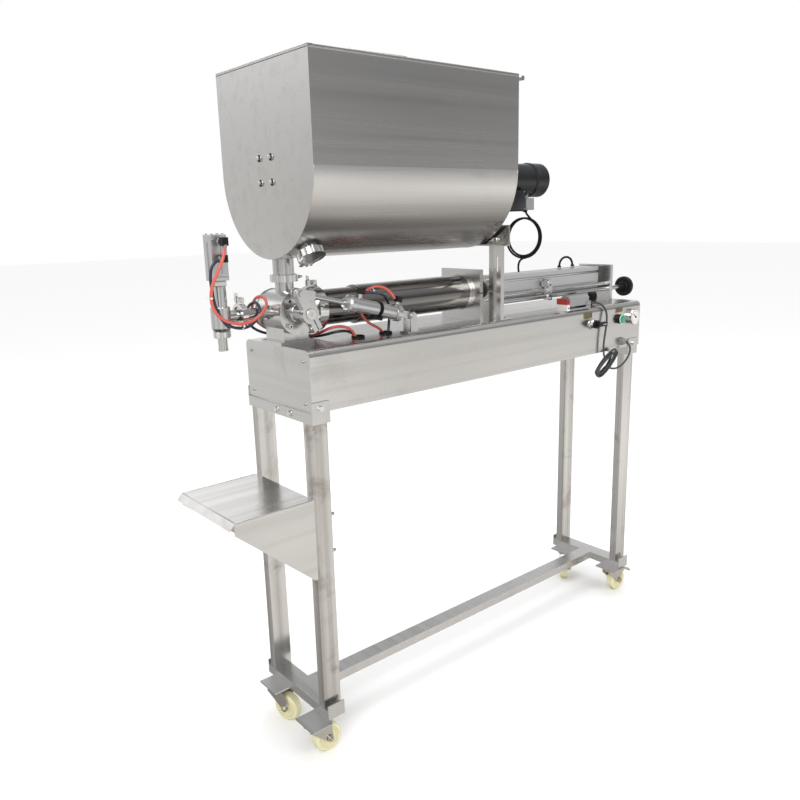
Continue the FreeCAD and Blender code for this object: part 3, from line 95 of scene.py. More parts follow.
def stage():
    bpy.ops.object.select_all(action="DESELECT")
    bpy.ops.mesh.primitive_plane_add(size=60, location=(0, 0, 0))
    floor = bpy.context.object
    floor.name = "floor"
    pale = bpy.data.materials.new("studio_floor")
    pale.use_nodes = True
    shader = pale.node_tree.nodes["Principled BSDF"]
    shader.inputs["Base Color"].default_value = (0.97, 0.97, 0.97, 1)
    shader.inputs["Roughness"].default_value = 0.9
    floor.data.materials.append(pale)
    floor.visible_glossy = False
    scene.view_settings.view_transform = "Standard"

    world = bpy.data.worlds.new("studio")
    world.use_nodes = True
    scene.world = world
    tree = world.node_tree
    tree.nodes.clear()
    out = tree.nodes.new("ShaderNodeOutputWorld")
    mix = tree.nodes.new("ShaderNodeMixShader")
    seen = tree.nodes.new("ShaderNodeBackground")
    seen.inputs["Color"].default_value = (1.0, 1.0, 1.0, 1)
    room = tree.nodes.new("ShaderNodeBackground")
    path = tree.nodes.new("ShaderNodeLightPath")
    away = tree.nodes.new("ShaderNodeMath")
    away.operation = "SUBTRACT"
    away.inputs[0].default_value = 1.0
    coords = tree.nodes.new("ShaderNodeTexCoord")
    split = tree.nodes.new("ShaderNodeSeparateXYZ")
    ramps = []
    for levels in (ROOM, NEAR_ROOM):
        ramp = tree.nodes.new("ShaderNodeValToRGB")
        stops = ramp.color_ramp.elements
        stops[0].position, stops[0].color = 0.0, (0.10, 0.095, 0.09, 1)
        stops[1].position, stops[1].color = 1.0, (1.0, 1.0, 1.0, 1)
        for position, value in levels:
            stops.new(position).color = (*value, 1)
        ramps.append(ramp)
    near = tree.nodes.new("ShaderNodeMapRange")
    near.inputs["From Min"].default_value = -0.05
    near.inputs["From Max"].default_value = -0.35
    sides = tree.nodes.new("ShaderNodeMix")
    sides.data_type = "RGBA"
    half = tree.nodes.new("ShaderNodeMath")
    half.operation = "MULTIPLY_ADD"
    half.inputs[1].default_value = 0.5
    half.inputs[2].default_value = 0.5
    link = tree.links.new
    link(coords.outputs["Generated"], split.inputs[0])
    link(split.outputs["Z"], half.inputs[0])
    for ramp in ramps:
        link(half.outputs[0], ramp.inputs["Fac"])
    link(split.outputs["Y"], near.inputs["Value"])
    link(near.outputs["Result"], sides.inputs["Factor"])
    for ramp, socket in zip(ramps, [s for s in sides.inputs if s.type == "RGBA"]):
        link(ramp.outputs["Color"], socket)
    patches = tree.nodes.new("ShaderNodeTexNoise")
    patches.inputs["Scale"].default_value = 2.6
    patches.inputs["Detail"].default_value = 2
    level = tree.nodes.new("ShaderNodeMapRange")
    level.inputs["From Min"].default_value = 0.36
    level.inputs["From Max"].default_value = 0.62
    level.inputs["To Min"].default_value = 0.55
    level.inputs["To Max"].default_value = 1.12
    link(coords.outputs["Generated"], patches.inputs["Vector"])
    link(patches.outputs["Fac"], level.inputs["Value"])
    link(level.outputs["Result"], room.inputs["Strength"])
    link(next(s for s in sides.outputs if s.type == "RGBA"), room.inputs["Color"])
    link(path.outputs["Is Glossy Ray"], away.inputs[1])
    link(away.outputs[0], mix.inputs["Fac"])
    link(room.outputs[0], mix.inputs[1])
    link(seen.outputs[0], mix.inputs[2])
    link(mix.outputs[0], out.inputs["Surface"])

    area_light("key", (-3.2, -2.6, 3.4), (0, 0, 1.1), (2.4, 2.4), 70, (1.0, 0.98, 0.96))
    area_light("side", (1.8, -3.6, 2.2), (0.2, 0, 1.0), (1.6, 2.6), 22, (0.96, 0.98, 1.0), shines=False)
    area_light("top", (0.2, 0.4, 4.2), (0.1, 0, 1.0), (3.0, 3.0), 60)


camera()
stage()


# ---------------------------------------------------------------- finishes
def group_io(name, sockets):
    """A shader node group with its named inputs and outputs."""
    made = bpy.data.node_groups.new(name, "ShaderNodeTree")
    for label, side, kind, value in sockets:
        socket = made.interface.new_socket(label, in_out=side, socket_type=kind)
        if value is not None:
            socket.default_value = value
    inputs = made.nodes.new("NodeGroupInput")
    outputs = made.nodes.new("NodeGroupOutput")
    return made, inputs, outputs


def brushed_grain():
    """Fine scratches that follow one direction: the coordinates come in already stretched."""
    made, inputs, outputs = group_io("Brushed Grain", [
        ("Vector", "INPUT", "NodeSocketVector", None),
        ("Fineness", "INPUT", "NodeSocketFloat", 1.0),
        ("Height", "OUTPUT", "NodeSocketFloat", None),
        ("Streaks", "OUTPUT", "NodeSocketFloat", None),
    ])
    fine = made.nodes.new("ShaderNodeTexNoise")
    fine.inputs["Detail"].default_value = 5
    fine.inputs["Roughness"].default_value = 0.7
    broad = made.nodes.new("ShaderNodeTexNoise")
    broad.inputs["Scale"].default_value = 0.11
    broad.inputs["Detail"].default_value = 3
    made.links.new(inputs.outputs["Vector"], fine.inputs["Vector"])
    made.links.new(inputs.outputs["Fineness"], fine.inputs["Scale"])
    made.links.new(inputs.outputs["Vector"], broad.inputs["Vector"])
    made.links.new(fine.outputs["Fac"], outputs.inputs["Height"])
    made.links.new(broad.outputs["Fac"], outputs.inputs["Streaks"])
    return made


def handling_marks():
    """Soft cloudy patches, where a surface has been wiped, touched and splashed."""
    made, inputs, outputs = group_io("Handling Marks", [
        ("Vector", "INPUT", "NodeSocketVector", None),
        ("Size", "INPUT", "NodeSocketFloat", 5.0),
        ("Cover", "INPUT", "NodeSocketFloat", 0.5),
        ("Mask", "OUTPUT", "NodeSocketFloat", None),
    ])
    cloud = made.nodes.new("ShaderNodeTexNoise")
    cloud.inputs["Detail"].default_value = 6
    cloud.inputs["Roughness"].default_value = 0.62
    cloud.inputs["Distortion"].default_value = 0.6
    spread = made.nodes.new("ShaderNodeMapRange")
    spread.interpolation_type = "SMOOTHSTEP"
    edge = made.nodes.new("ShaderNodeMath")
    edge.operation = "SUBTRACT"
    edge.inputs[0].default_value = 1.0
    upper = made.nodes.new("ShaderNodeMath")
    upper.operation = "ADD"
    upper.inputs[1].default_value = 0.28
    made.links.new(inputs.outputs["Vector"], cloud.inputs["Vector"])
    made.links.new(inputs.outputs["Size"], cloud.inputs["Scale"])
    made.links.new(inputs.outputs["Cover"], edge.inputs[1])
    made.links.new(edge.outputs[0], spread.inputs["From Min"])
    made.links.new(edge.outputs[0], upper.inputs[0])
    made.links.new(upper.outputs[0], spread.inputs["From Max"])
    made.links.new(cloud.outputs["Fac"], spread.inputs["Value"])
    made.links.new(spread.outputs["Result"], outputs.inputs["Mask"])
    return made


GRAIN = brushed_grain()
MARKS = handling_marks()


def finish_of(name, colour, second, rough, metallic=0.0, stretch=(60, 60, 60), fineness=1.0, bump=0.02,
              depth=0.0004, marks=4.0, cover=0.42, rough_marks=0.12, rough_grain=0.1, coat=0.0, specular=0.5,
              lines=0.0):
    """A material: base colour, its marked colour, a directional grain and cloudy handling marks."""
    made = bpy.data.materials.new(name)
    made.use_nodes = True
    tree = made.node_tree
    link = tree.links.new
    shader = tree.nodes["Principled BSDF"]
    shader.inputs["Metallic"].default_value = metallic
    shader.inputs["Specular IOR Level"].default_value = specular
    shader.inputs["Coat Weight"].default_value = coat
    shader.inputs["Coat Roughness"].default_value = 0.12
    coords = tree.nodes.new("ShaderNodeTexCoord")
    mapping = tree.nodes.new("ShaderNodeMapping")
    mapping.inputs["Scale"].default_value = stretch
    grain = tree.nodes.new("ShaderNodeGroup")
    grain.node_tree = GRAIN
    grain.inputs["Fineness"].default_value = fineness
    cloud = tree.nodes.new("ShaderNodeGroup")
    cloud.node_tree = MARKS
    cloud.inputs["Size"].default_value = marks
    cloud.inputs["Cover"].default_value = cover
    blend = tree.nodes.new("ShaderNodeMix")
    blend.data_type = "RGBA"
    blend.inputs["A"].default_value = (*colour, 1)
    blend.inputs["B"].default_value = (*second, 1)
    streak = tree.nodes.new("ShaderNodeMapRange")
    streak.inputs["From Min"].default_value = 0.3
    streak.inputs["From Max"].default_value = 0.7
    streak.inputs["To Min"].default_value = -rough_grain
    streak.inputs["To Max"].default_value = rough_grain
    first = tree.nodes.new("ShaderNodeMath")
    first.operation = "MULTIPLY_ADD"
    first.inputs[1].default_value = rough_marks
    first.inputs[2].default_value = rough
    total = tree.nodes.new("ShaderNodeMath")
    total.operation = "ADD"
    total.use_clamp = True
    bumps = tree.nodes.new("ShaderNodeBump")
    bumps.inputs["Strength"].default_value = bump
    bumps.inputs["Distance"].default_value = depth
    link(coords.outputs["Object"], mapping.inputs["Vector"])
    link(mapping.outputs["Vector"], grain.inputs["Vector"])
    link(coords.outputs["Object"], cloud.inputs["Vector"])
    drawn = tree.nodes.new("ShaderNodeMath")
    drawn.operation = "MULTIPLY_ADD"
    drawn.use_clamp = True
    drawn.inputs[1].default_value = lines / max(rough_grain, 0.01)
    link(streak.outputs["Result"], drawn.inputs[0])
    link(cloud.outputs["Mask"], drawn.inputs[2])
    link(drawn.outputs[0], blend.inputs["Factor"])
    link(blend.outputs["Result"], shader.inputs["Base Color"])
    link(grain.outputs["Streaks"], streak.inputs["Value"])
    link(cloud.outputs["Mask"], first.inputs[0])
    link(first.outputs[0], total.inputs[0])
    link(streak.outputs["Result"], total.inputs[1])
    link(total.outputs[0], shader.inputs["Roughness"])
    link(grain.outputs["Height"], bumps.inputs["Height"])
    link(bumps.outputs["Normal"], shader.inputs["Normal"])
    return made


LENGTHWISE = (4, 320, 320)
UPRIGHT = (320, 320, 4)
ACROSS = (320, 4, 320)
EVEN = (90, 90, 90)
SHEET = finish_of("brushed sheet", (0.71, 0.70, 0.685), (0.62, 0.605, 0.585), 0.25, 1.0, LENGTHWISE, bump=0.25,
                  marks=3.2, cover=0.46, rough_marks=0.06, rough_grain=0.05, lines=0.5)
TUBE = finish_of("brushed tube", (0.68, 0.67, 0.655), (0.42, 0.40, 0.37), 0.20, 1.0, UPRIGHT, bump=0.2,
                 marks=9, cover=0.50, rough_marks=0.12, rough_grain=0.06, lines=0.7)
PLATE = finish_of("rolled plate", (0.70, 0.695, 0.685), (0.54, 0.525, 0.50), 0.28, 1.0, ACROSS, bump=0.2,
                  marks=6, cover=0.45, rough_marks=0.12, rough_grain=0.05)
MACHINED = finish_of("turned steel", (0.66, 0.66, 0.655), (0.52, 0.51, 0.50), 0.20, 1.0, EVEN, bump=0.08,
                     marks=16, cover=0.45, rough_marks=0.14, rough_grain=0.05)
POLISHED = finish_of("polished steel", (0.74, 0.74, 0.735), (0.56, 0.55, 0.54), 0.10, 1.0, EVEN, bump=0.04,
                     marks=22, cover=0.42, rough_marks=0.16, rough_grain=0.03)
# The dosing tube's steel gets a dark colour and a darker second one. This is painted shade and painted reflection for
# the tube lying in the hopper's shade; the handling marks blend between the two.
DOSING_PAINTED_SHADE = finish_of("polished tube with painted shade", (0.27, 0.26, 0.25), (0.17, 0.16, 0.15), 0.14, 1.0, LENGTHWISE, bump=0.08,
                   marks=5, cover=0.48, rough_marks=0.16, rough_grain=0.04)
ANODISED = finish_of("anodised profile", (0.66, 0.67, 0.68), (0.52, 0.53, 0.54), 0.34, 0.95, LENGTHWISE, bump=0.12,
                     marks=8, cover=0.4, rough_marks=0.1, rough_grain=0.05)
CASTING = finish_of("dark casting", (0.05, 0.05, 0.053), (0.03, 0.03, 0.03), 0.45, 0.0, (140, 140, 140), bump=0.5,
                    marks=12, cover=0.4, rough_marks=0.14)
MOTOR = finish_of("black paint", (0.012, 0.013, 0.015), (0.024, 0.023, 0.022), 0.30, 0.0, (220, 220, 220), bump=0.35,
                  marks=7, cover=0.4, rough_marks=0.2, coat=0.1, specular=0.35)
BLACK = finish_of("black moulding", (0.008, 0.008, 0.009), (0.02, 0.02, 0.02), 0.36, 0.0, (300, 300, 300), bump=0.25,
                  marks=18, cover=0.35, rough_marks=0.2, specular=0.3)
RED = finish_of("red moulding", (0.33, 0.025, 0.03), (0.22, 0.02, 0.025), 0.34, 0.0, (300, 300, 300), bump=0.2,
                marks=20)
WHITE = finish_of("white moulding", (0.66, 0.65, 0.63), (0.5, 0.48, 0.44), 0.4, 0.0, (300, 300, 300), bump=0.2,
                  marks=20)
GREEN = finish_of("green lens", (0.01, 0.30, 0.13), (0.01, 0.2, 0.09), 0.2, 0.0, (200, 200, 200), bump=0.1, marks=30,
                  coat=0.4)
GREY = finish_of("grey moulding", (0.23, 0.235, 0.235), (0.16, 0.16, 0.155), 0.42, 0.0, (260, 260, 260), bump=0.3,
                 marks=14)
ZINC = finish_of("zinc plate", (0.62, 0.60, 0.55), (0.42, 0.36, 0.27), 0.26, 1.0, (120, 120, 120), bump=0.25,
                 marks=26, cover=0.45, rough_marks=0.2)
RUSTED = finish_of("rusty race", (0.42, 0.27, 0.12), (0.22, 0.10, 0.04), 0.5, 0.6, (240, 240, 240), bump=0.5,
                   marks=45, cover=0.6, rough_marks=0.25)
NYLON = finish_of("cream nylon", (0.72, 0.68, 0.44), (0.50, 0.44, 0.26), 0.38, 0.0, (160, 160, 160), bump=0.25,
                  marks=24, cover=0.42, rough_marks=0.15, coat=0.1)
HOSE_RED = finish_of("red hose", (0.58, 0.10, 0.075), (0.46, 0.075, 0.06), 0.22, 0.0, (400, 400, 400), bump=0.05,
                     marks=30, coat=0.4)
HOSE_BLUE = finish_of("dark hose", (0.022, 0.026, 0.045), (0.04, 0.045, 0.06), 0.24, 0.0, (400, 400, 400), bump=0.05,
                      marks=30, coat=0.4)
SHEATH = finish_of("black sheath", (0.006, 0.006, 0.006), (0.014, 0.014, 0.014), 0.5, 0.0, (500, 500, 500), bump=0.2,
                   marks=40, specular=0.25)
GREY_SHEATH = finish_of("grey sheath", (0.05, 0.05, 0.052), (0.10, 0.10, 0.10), 0.42, 0.0, (500, 500, 500), bump=0.2,
                        marks=40)

NODE_FINISH = {
    SHEET: ("beam_housing", "hopper_shell", "hopper_lid", "bottle_tray", "agitator"),
    TUBE: ("leg_tubes", "hopper_support"),
    PLATE: ("beam_end_plates", "leg_brackets", "base_rails", "stretcher", "cylinder_plates", "actuator_bracket"),
    MACHINED: ("valve_body", "valve_covers", "valve_lever", "outlet_pipe", "drain_port", "nozzle_pipe", "nozzle_body",
               "stroke_block", "piston_and_rod", "nozzle_stem", "lead_screw", "actuator_rod"),
    POLISHED: ("pipe_clamps", "frame_bolts"),
    DOSING_PAINTED_SHADE: ("product_cylinder",),
    ANODISED: ("air_cylinder_barrel", "nozzle_cylinder", "actuator_barrel"),
    CASTING: ("air_cylinder_caps", "agitator_bearings"),
    MOTOR: ("gear_motor",),
    BLACK: ("handwheel", "selector_knob", "regulator_knob", "hose_fittings", "panel_fittings"),
    GREEN: ("start_button",),
    GREY: ("foot_switch_base", "foot_switch_pedal"),
    ZINC: ("front_near_fork", "front_far_fork", "rear_near_fork", "rear_far_fork", "rear_near_brake"),
    NYLON: ("front_near_wheel", "front_far_wheel", "rear_near_wheel", "rear_far_wheel"),
    HOSE_RED: ("nozzle_hose_red", "actuator_hose_red"),
    HOSE_BLUE: ("nozzle_hose_blue", "actuator_hose_blue"),
    SHEATH: ("port_hose", "motor_lead", "motor_lead_coil", "pedal_lead", "pedal_lead_hank"),
}
for material, names in NODE_FINISH.items():
    for name in names:
        piece = nodes[name]
        piece.data.materials.clear()
        piece.data.materials.append(material)

# ---------------------------------------------------------------- hoses and leads
NOZZLE_HOSE_RED = [
    (-133.2, -40.3, 1275.2), (-139.1, -44.8, 1252.9), (-152.2, -44.3, 1227.2), (-164.7, -41.2, 1204.3),
    (-173.5, -38.9, 1179.7), (-175, -39.1, 1153.6), (-166.1, -40.6, 1129.3), (-146, -41.6, 1112.7),
    (-121.3, -40.7, 1103.9), (-95.4, -37.7, 1101.5), (-70.1, -34.5, 1107), (-47.4, -33.1, 1120.1),
    (-30.2, -28, 1138.8), (-28.1, -9.7, 1156.2), (-35, 14.1, 1154.2), (-36.7, 31.6, 1134.8),
    (-30.5, 46.8, 1114.5), (-17, 58.9, 1095.5), (1.9, 67, 1079.2), (24.5, 70.5, 1066.4),
    (49.1, 69.2, 1057.5), (73.5, 61.7, 1051.7), (93.5, 45.6, 1047.7), (105.1, 22.2, 1045.7),
    (110.9, -3.2, 1048.4), (114.6, -27.5, 1057.5), (122.8, -49.6, 1068.8), (143.6, -64, 1073.2),
    (168.2, -68.6, 1066.4), (188.7, -66.9, 1046.7), (194, -66.2, 1024),
]
NOZZLE_HOSE_BLUE = [
    (-141.9, -31, 1247.1), (-161, -30.2, 1238.5), (-167.3, -28.1, 1211), (-165.7, -27.5, 1185.1),
    (-163.7, -28.7, 1159.2), (-158.8, -30.6, 1133.8), (-147, -31.9, 1110.9), (-125.9, -31.1, 1096.2),
    (-101, -27.8, 1090.2), (-75.9, -21.6, 1091.9), (-54.4, -18.5, 1105.2), (-43.7, -18.7, 1128.2),
    (-44, -0.9, 1145.3), (-49.4, 22.3, 1136.6), (-49.3, 40.7, 1118.4), (-41, 55.3, 1098.8),
    (-26.1, 67.2, 1081.2), (-6.2, 76.5, 1067.5), (17, 81.9, 1057.2), (41.9, 81.9, 1050),
    (66.6, 75.6, 1045.4), (88.6, 62.3, 1042.5), (104.9, 42.3, 1041.1), (116.1, 18.9, 1041.7),
    (124.2, -5.5, 1045.1), (133.2, -29, 1051.3), (150.6, -46.9, 1057.4), (174.6, -55.9, 1057.1),
    (198.1, -58.8, 1041.9), (204, -60.1, 1020.1),
]
ACTUATOR_HOSE_RED = [
    (287.2, -57, 1024.5), (281.3, -59.9, 1043.2), (261.3, -63.2, 1056.9), (240.9, -65.3, 1065.9),
    (222.4, -66.7, 1078.4), (208.1, -67.9, 1095.6), (201.6, -69.8, 1116.7), (206.3, -73.2, 1138.2),
    (220, -77.9, 1155), (240.2, -83.5, 1162.4), (261.5, -89.3, 1159.5), (281, -95.2, 1145.9),
    (290.4, -99.2, 1128.7),
]
ACTUATOR_HOSE_BLUE = [
    (289.3, -67.4, 1020.2), (291.7, -67.1, 1039.2), (297.4, -64.6, 1061.8), (300.2, -64, 1082.8),
    (297.4, -67.1, 1103.6), (288.7, -73.1, 1122), (274.3, -80.8, 1135.5), (256, -88.4, 1143),
    (236, -94.5, 1147), (213.1, -98.5, 1149.9), (194.2, -98.4, 1152.9),
]
PORT_HOSE = [
    (1085.9, 20, 1156.3), (1087.5, 20, 1169.5), (1098.5, 20, 1181.4), (1112.7, 20, 1186.1),
    (1127.6, 20, 1186), (1141.8, 20, 1181.2), (1153.1, 20, 1169.6), (1155.1, 20, 1156.4),
]
MOTOR_LEAD = [
    (858, -30, 1337.3), (857.3, -32.6, 1330.9), (858.6, -37.9, 1323.3), (861, -41.8, 1318),
]
MOTOR_TAIL = [
    (836, -37.8, 1196.4), (827.5, -34.2, 1187.5), (826.8, -31.8, 1170.4), (831, -31, 1158),
]
PEDAL_LEAD = [
    (1050.9, -120.2, 1049.8), (1068, -121.1, 1051.5), (1087.3, -129.7, 1050.1), (1100.6, -140.9, 1042),
    (1107.2, -150.3, 1026.8), (1107.8, -154.3, 1008), (1105.8, -155.7, 988.8), (1102.8, -156, 969.7),
    (1099.5, -155.5, 950.6), (1096.6, -154.9, 931.5), (1095.1, -154.6, 912.2), (1096, -155.5, 891),
    (1099.4, -157.5, 874.1),
]
PEDAL_TAIL = [
    (1117, -157.8, 844.1), (1133, -158.8, 836.8), (1154.3, -159.8, 833.3), (1173.8, -160.7, 835.3),
    (1192.2, -161.8, 842), (1208.4, -163.3, 853), (1221.1, -165, 867.9), (1227.6, -166.2, 886.2),
    (1220.4, -165.4, 905.9), (1205.9, -162.5, 915.5),
]


def coil_turns():
    """The loose turns of the motor's lead, a little apart from each other, in a plane turned to the front."""
    points = []
    steps = 32
    turned = math.radians(16)
    for step in range(steps):
        share = step / (steps - 1)
        angle = math.radians(66 - 880 * share)
        reach = 57.5 + 3 * math.sin(share * 8)
        off = 3 * math.sin(share * 5.5)
        out = reach * math.cos(angle)
        points.append((843 + out * math.cos(turned) + off * math.sin(turned),
                       -40 - out * math.sin(turned) + off * math.cos(turned), 1258 + reach * math.sin(angle)))
    return points


def hank_turns():
    """The pedal's lead folded into an uneven hank that hangs at a slant and fans out at its lower end."""
    lean = math.radians(33)
    points = []
    steps = 62
    for step in range(steps + 1):
        share = step / steps
        angle = math.radians(90 + 1620 * share)
        turn = math.cos(angle)
        along = turn * (56 + 7 * math.sin(share * 13))
        spread = 15.5 + 5.5 * math.sin(share * 11 + 1) - 4 * turn
        across = spread * math.copysign(abs(math.sin(angle)) ** 0.85, math.sin(angle)) - 3 * turn * math.sin(share * 7)
        side = -166 + 15 * share + 2 * math.sin(share * 17)
        points.append((1107 + along * math.cos(lean) - across * math.sin(lean), side,
                       858 + along * math.sin(lean) + across * math.cos(lean)))
    return points


def cord(name, route, radius, material):
    """One smooth line with the route as its control points."""
    curve = bpy.data.curves.new(name, "CURVE")
    curve.dimensions = "3D"
    curve.bevel_depth = 1.0
    curve.bevel_resolution = 5
    curve.resolution_u = 8
    curve.use_fill_caps = True
    line = curve.splines.new("NURBS")
    line.points.add(len(route) - 1)
    for point, spot in zip(line.points, route):
        point.co = (*at(*spot), 1)
        point.radius = radius
    line.order_u = 3
    line.use_endpoint_u = True
    curve.materials.append(material)
    made = bpy.data.objects.new(name, curve)
    scene.collection.objects.link(made)
    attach(made, "frame")
    return made


def length_of(curve):
    """The length of a cord's own line."""
    depth = curve.data.bevel_depth
    curve.data.bevel_depth = 0
    bpy.context.view_layer.update()
    mesh = bpy.data.meshes.new_from_object(curve.evaluated_get(bpy.context.evaluated_depsgraph_get()))
    spots = [v.co.copy() for v in mesh.vertices]
    bpy.data.meshes.remove(mesh)
    curve.data.bevel_depth = depth
    return sum((b - a).length for a, b in zip(spots, spots[1:]))


def cords():
    hoses = (
        ("nozzle_hose_red_line", NOZZLE_HOSE_RED, 0.0035, HOSE_RED, "nozzle_hose_red"),
        ("nozzle_hose_dark_line", NOZZLE_HOSE_BLUE, 0.0035, HOSE_BLUE, "nozzle_hose_blue"),
        ("actuator_hose_red_line", ACTUATOR_HOSE_RED, 0.0035, HOSE_RED, "actuator_hose_red"),
        ("actuator_hose_dark_line", ACTUATOR_HOSE_BLUE, 0.0035, HOSE_BLUE, "actuator_hose_blue"),
        ("port_hose_line", PORT_HOSE, 0.0035, SHEATH, "port_hose"),
    )
    for name, route, radius, material, node in hoses:
        line = cord(name, route, radius, material)
        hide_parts(node)
        round(length_of(line), 3)
    motor = MOTOR_LEAD + coil_turns() + MOTOR_TAIL
    line = cord("motor_lead_line", motor, 0.003, SHEATH)
    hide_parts("motor_lead", "motor_lead_coil")
    round(length_of(line), 3)
    pedal = PEDAL_LEAD + hank_turns() + PEDAL_TAIL
    line = cord("pedal_lead_line", pedal, 0.003, GREY_SHEATH)
    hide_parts("pedal_lead", "pedal_lead_hank")
    round(length_of(line), 3)


cords()


# ---------------------------------------------------------------- modelling helpers
STEPS = {
    "X": ((0, math.pi / 2, 0), Vector((1, 0, 0))), "-X": ((0, -math.pi / 2, 0), Vector((-1, 0, 0))),
    "Y": ((-math.pi / 2, 0, 0), Vector((0, 1, 0))), "-Y": ((math.pi / 2, 0, 0), Vector((0, -1, 0))),
    "Z": ((0, 0, 0), Vector((0, 0, 1))), "-Z": ((math.pi, 0, 0), Vector((0, 0, -1))),
}


def only(made):
    bpy.ops.object.select_all(action="DESELECT")
    made.select_set(True)
    bpy.context.view_layer.objects.active = made


def settled(made, material, angle=35):
    """Puts the place into the mesh, smooths the curved faces and gives the one material."""
    only(made)
    bpy.ops.object.transform_apply(location=True, rotation=True, scale=True)
    bpy.ops.object.shade_smooth_by_angle(angle=math.radians(angle))
    made.data.materials.append(material)
    return made


def turned(place, axis, profile, material, sides=40):
    """A turned piece: pairs of distance along the axis and radius, in millimetres."""
    turn, step = STEPS[axis]
    start = Vector(at(*place))
    bpy.ops.object.select_all(action="DESELECT")
    bpy.ops.mesh.primitive_circle_add(
        vertices=sides, radius=profile[0][1] / 1000, fill_type="NGON", location=start + step * profile[0][0] / 1000,
        rotation=turn)
    made = bpy.context.object
    bpy.ops.object.mode_set(mode="EDIT")
    bpy.ops.mesh.select_all(action="SELECT")
    for (before, was), (after, now) in zip(profile, profile[1:]):
        move = step * (after - before) / 1000
        bpy.ops.mesh.extrude_region_move(TRANSFORM_OT_translate={"value": move})
        if now != was:
            centre = start + step * after / 1000
            bpy.ops.transform.resize(value=(now / was,) * 3, center_override=centre)
    bpy.ops.mesh.select_all(action="SELECT")
    bpy.ops.mesh.normals_make_consistent(inside=False)
    bpy.ops.object.mode_set(mode="OBJECT")
    return settled(made, material)


def block(low, high, material, bevel=0.6, segments=2):
    """A rounded block between two corners, in millimetres."""
    a, b = Vector(at(*low)), Vector(at(*high))
    bpy.ops.object.select_all(action="DESELECT")
    bpy.ops.mesh.primitive_cube_add(size=1, location=(a + b) / 2, scale=b - a)
    made = bpy.context.object
    only(made)
    bpy.ops.object.transform_apply(location=True, rotation=True, scale=True)
    bpy.ops.object.mode_set(mode="EDIT")
    bpy.ops.mesh.select_all(action="SELECT")
    bpy.ops.mesh.bevel(offset=bevel / 1000, segments=segments, affect="EDGES")
    bpy.ops.object.mode_set(mode="OBJECT")
    return settled(made, material, 50)


def hoop(place, axis, radius, thick, material, sides=48):
    """A round ring about an axis."""
    bpy.ops.object.select_all(action="DESELECT")
    bpy.ops.mesh.primitive_torus_add(
        location=at(*place), rotation=STEPS[axis][0], major_radius=radius / 1000, minor_radius=thick / 1000,
        major_segments=sides, minor_segments=12)
    return settled(bpy.context.object, material)


def spun(made, centre, axis, degrees):
    """Turns a finished piece about a point, in its mesh."""
    only(made)
    matrix = Matrix.Rotation(math.radians(degrees), 4, Vector(axis))
    spot = Matrix.Translation(Vector(at(*centre)))
    made.matrix_world = spot @ matrix @ spot.inverted()
    bpy.ops.object.transform_apply(location=True, rotation=True, scale=True)
    return made


def copied(made, shift):
    """A second piece with a mesh of its own, moved by millimetres."""
    twin = made.copy()
    twin.data = made.data.copy()
    scene.collection.objects.link(twin)
    twin.location = Vector(shift) / 1000
    only(twin)
    bpy.ops.object.transform_apply(location=True, rotation=True, scale=True)
    return twin


def joined(name, body, *things):
    """One named piece from several, riding on its body."""
    bpy.ops.object.select_all(action="DESELECT")
    for thing in things:
        thing.select_set(True)
    bpy.context.view_layer.objects.active = things[0]
    if len(things) > 1:
        bpy.ops.object.join()
    made = things[0]
    made.name = name
    made.data.name = name
    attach(made, body)
    return made


def hex_bolt(place, axis, size, material, high=None):
    """A washer, a chamfered hexagon head and its slight dish."""
    high = high or size * 0.75
    washer = turned(place, axis, [(0, size * 1.25), (0.9, size * 1.25), (1.2, size * 1.18)], material, 28)
    profile = [(1, size), (high, size), (high + 0.7, size * 0.86), (high + 0.4, size * 0.5)]
    head = turned(place, axis, profile, material, 6)
    return [washer, head]


def socket_screw(place, axis, size, material):
    """A round head with a thin black hexagon laid on it: painted shade in place of a sunk hexagon socket."""
    head = turned(place, axis, [(0, size), (size * 0.85, size), (size, size * 0.88)], material, 28)
    return [head, turned(place, axis, [(size * 0.9, size * 0.5), (size * 1.02, size * 0.5)], SHEATH, 6)]


# ---------------------------------------------------------------- finishes by place
def repaint(name, rules):
    """Gives faces of a part another finish: each rule tests a face's middle in millimetres."""
    piece = nodes[name]
    for material, _ in rules:
        piece.data.materials.append(material)
    for face in piece.data.polygons:
        x, y, z = piece.matrix_world @ face.center
        spot = (x * 1000 + MIDDLE, y * 1000, z * 1000)
        for index, (_, test) in enumerate(rules, start=1):
            if test(*spot):
                face.material_index = index
                break


repaint("foot_switch_base", [
    (WHITE, lambda x, y, z: x < 938.2 and z < 1057.2), (RED, lambda x, y, z: x < 938.2 and z >= 1057.2)])
repaint("gear_motor", [
    (GREY, lambda x, y, z: 836 < x < 876 and z < 1376), (CASTING, lambda x, y, z: x < 708)])
repaint("panel_fittings", [
    (POLISHED, lambda x, y, z: x < 1064 and z < 1005), (GREY, lambda x, y, z: 1190 < x < 1225 and z < 930),
    (POLISHED, lambda x, y, z: x > 1230)])
repaint("actuator_barrel", [(BLACK, lambda x, y, z: z > 1074 + 0.2415 * (338 - x) / 0.97 + 36)])
repaint("hose_fittings", [(POLISHED, lambda x, y, z: x > 1100 and y < -60)])


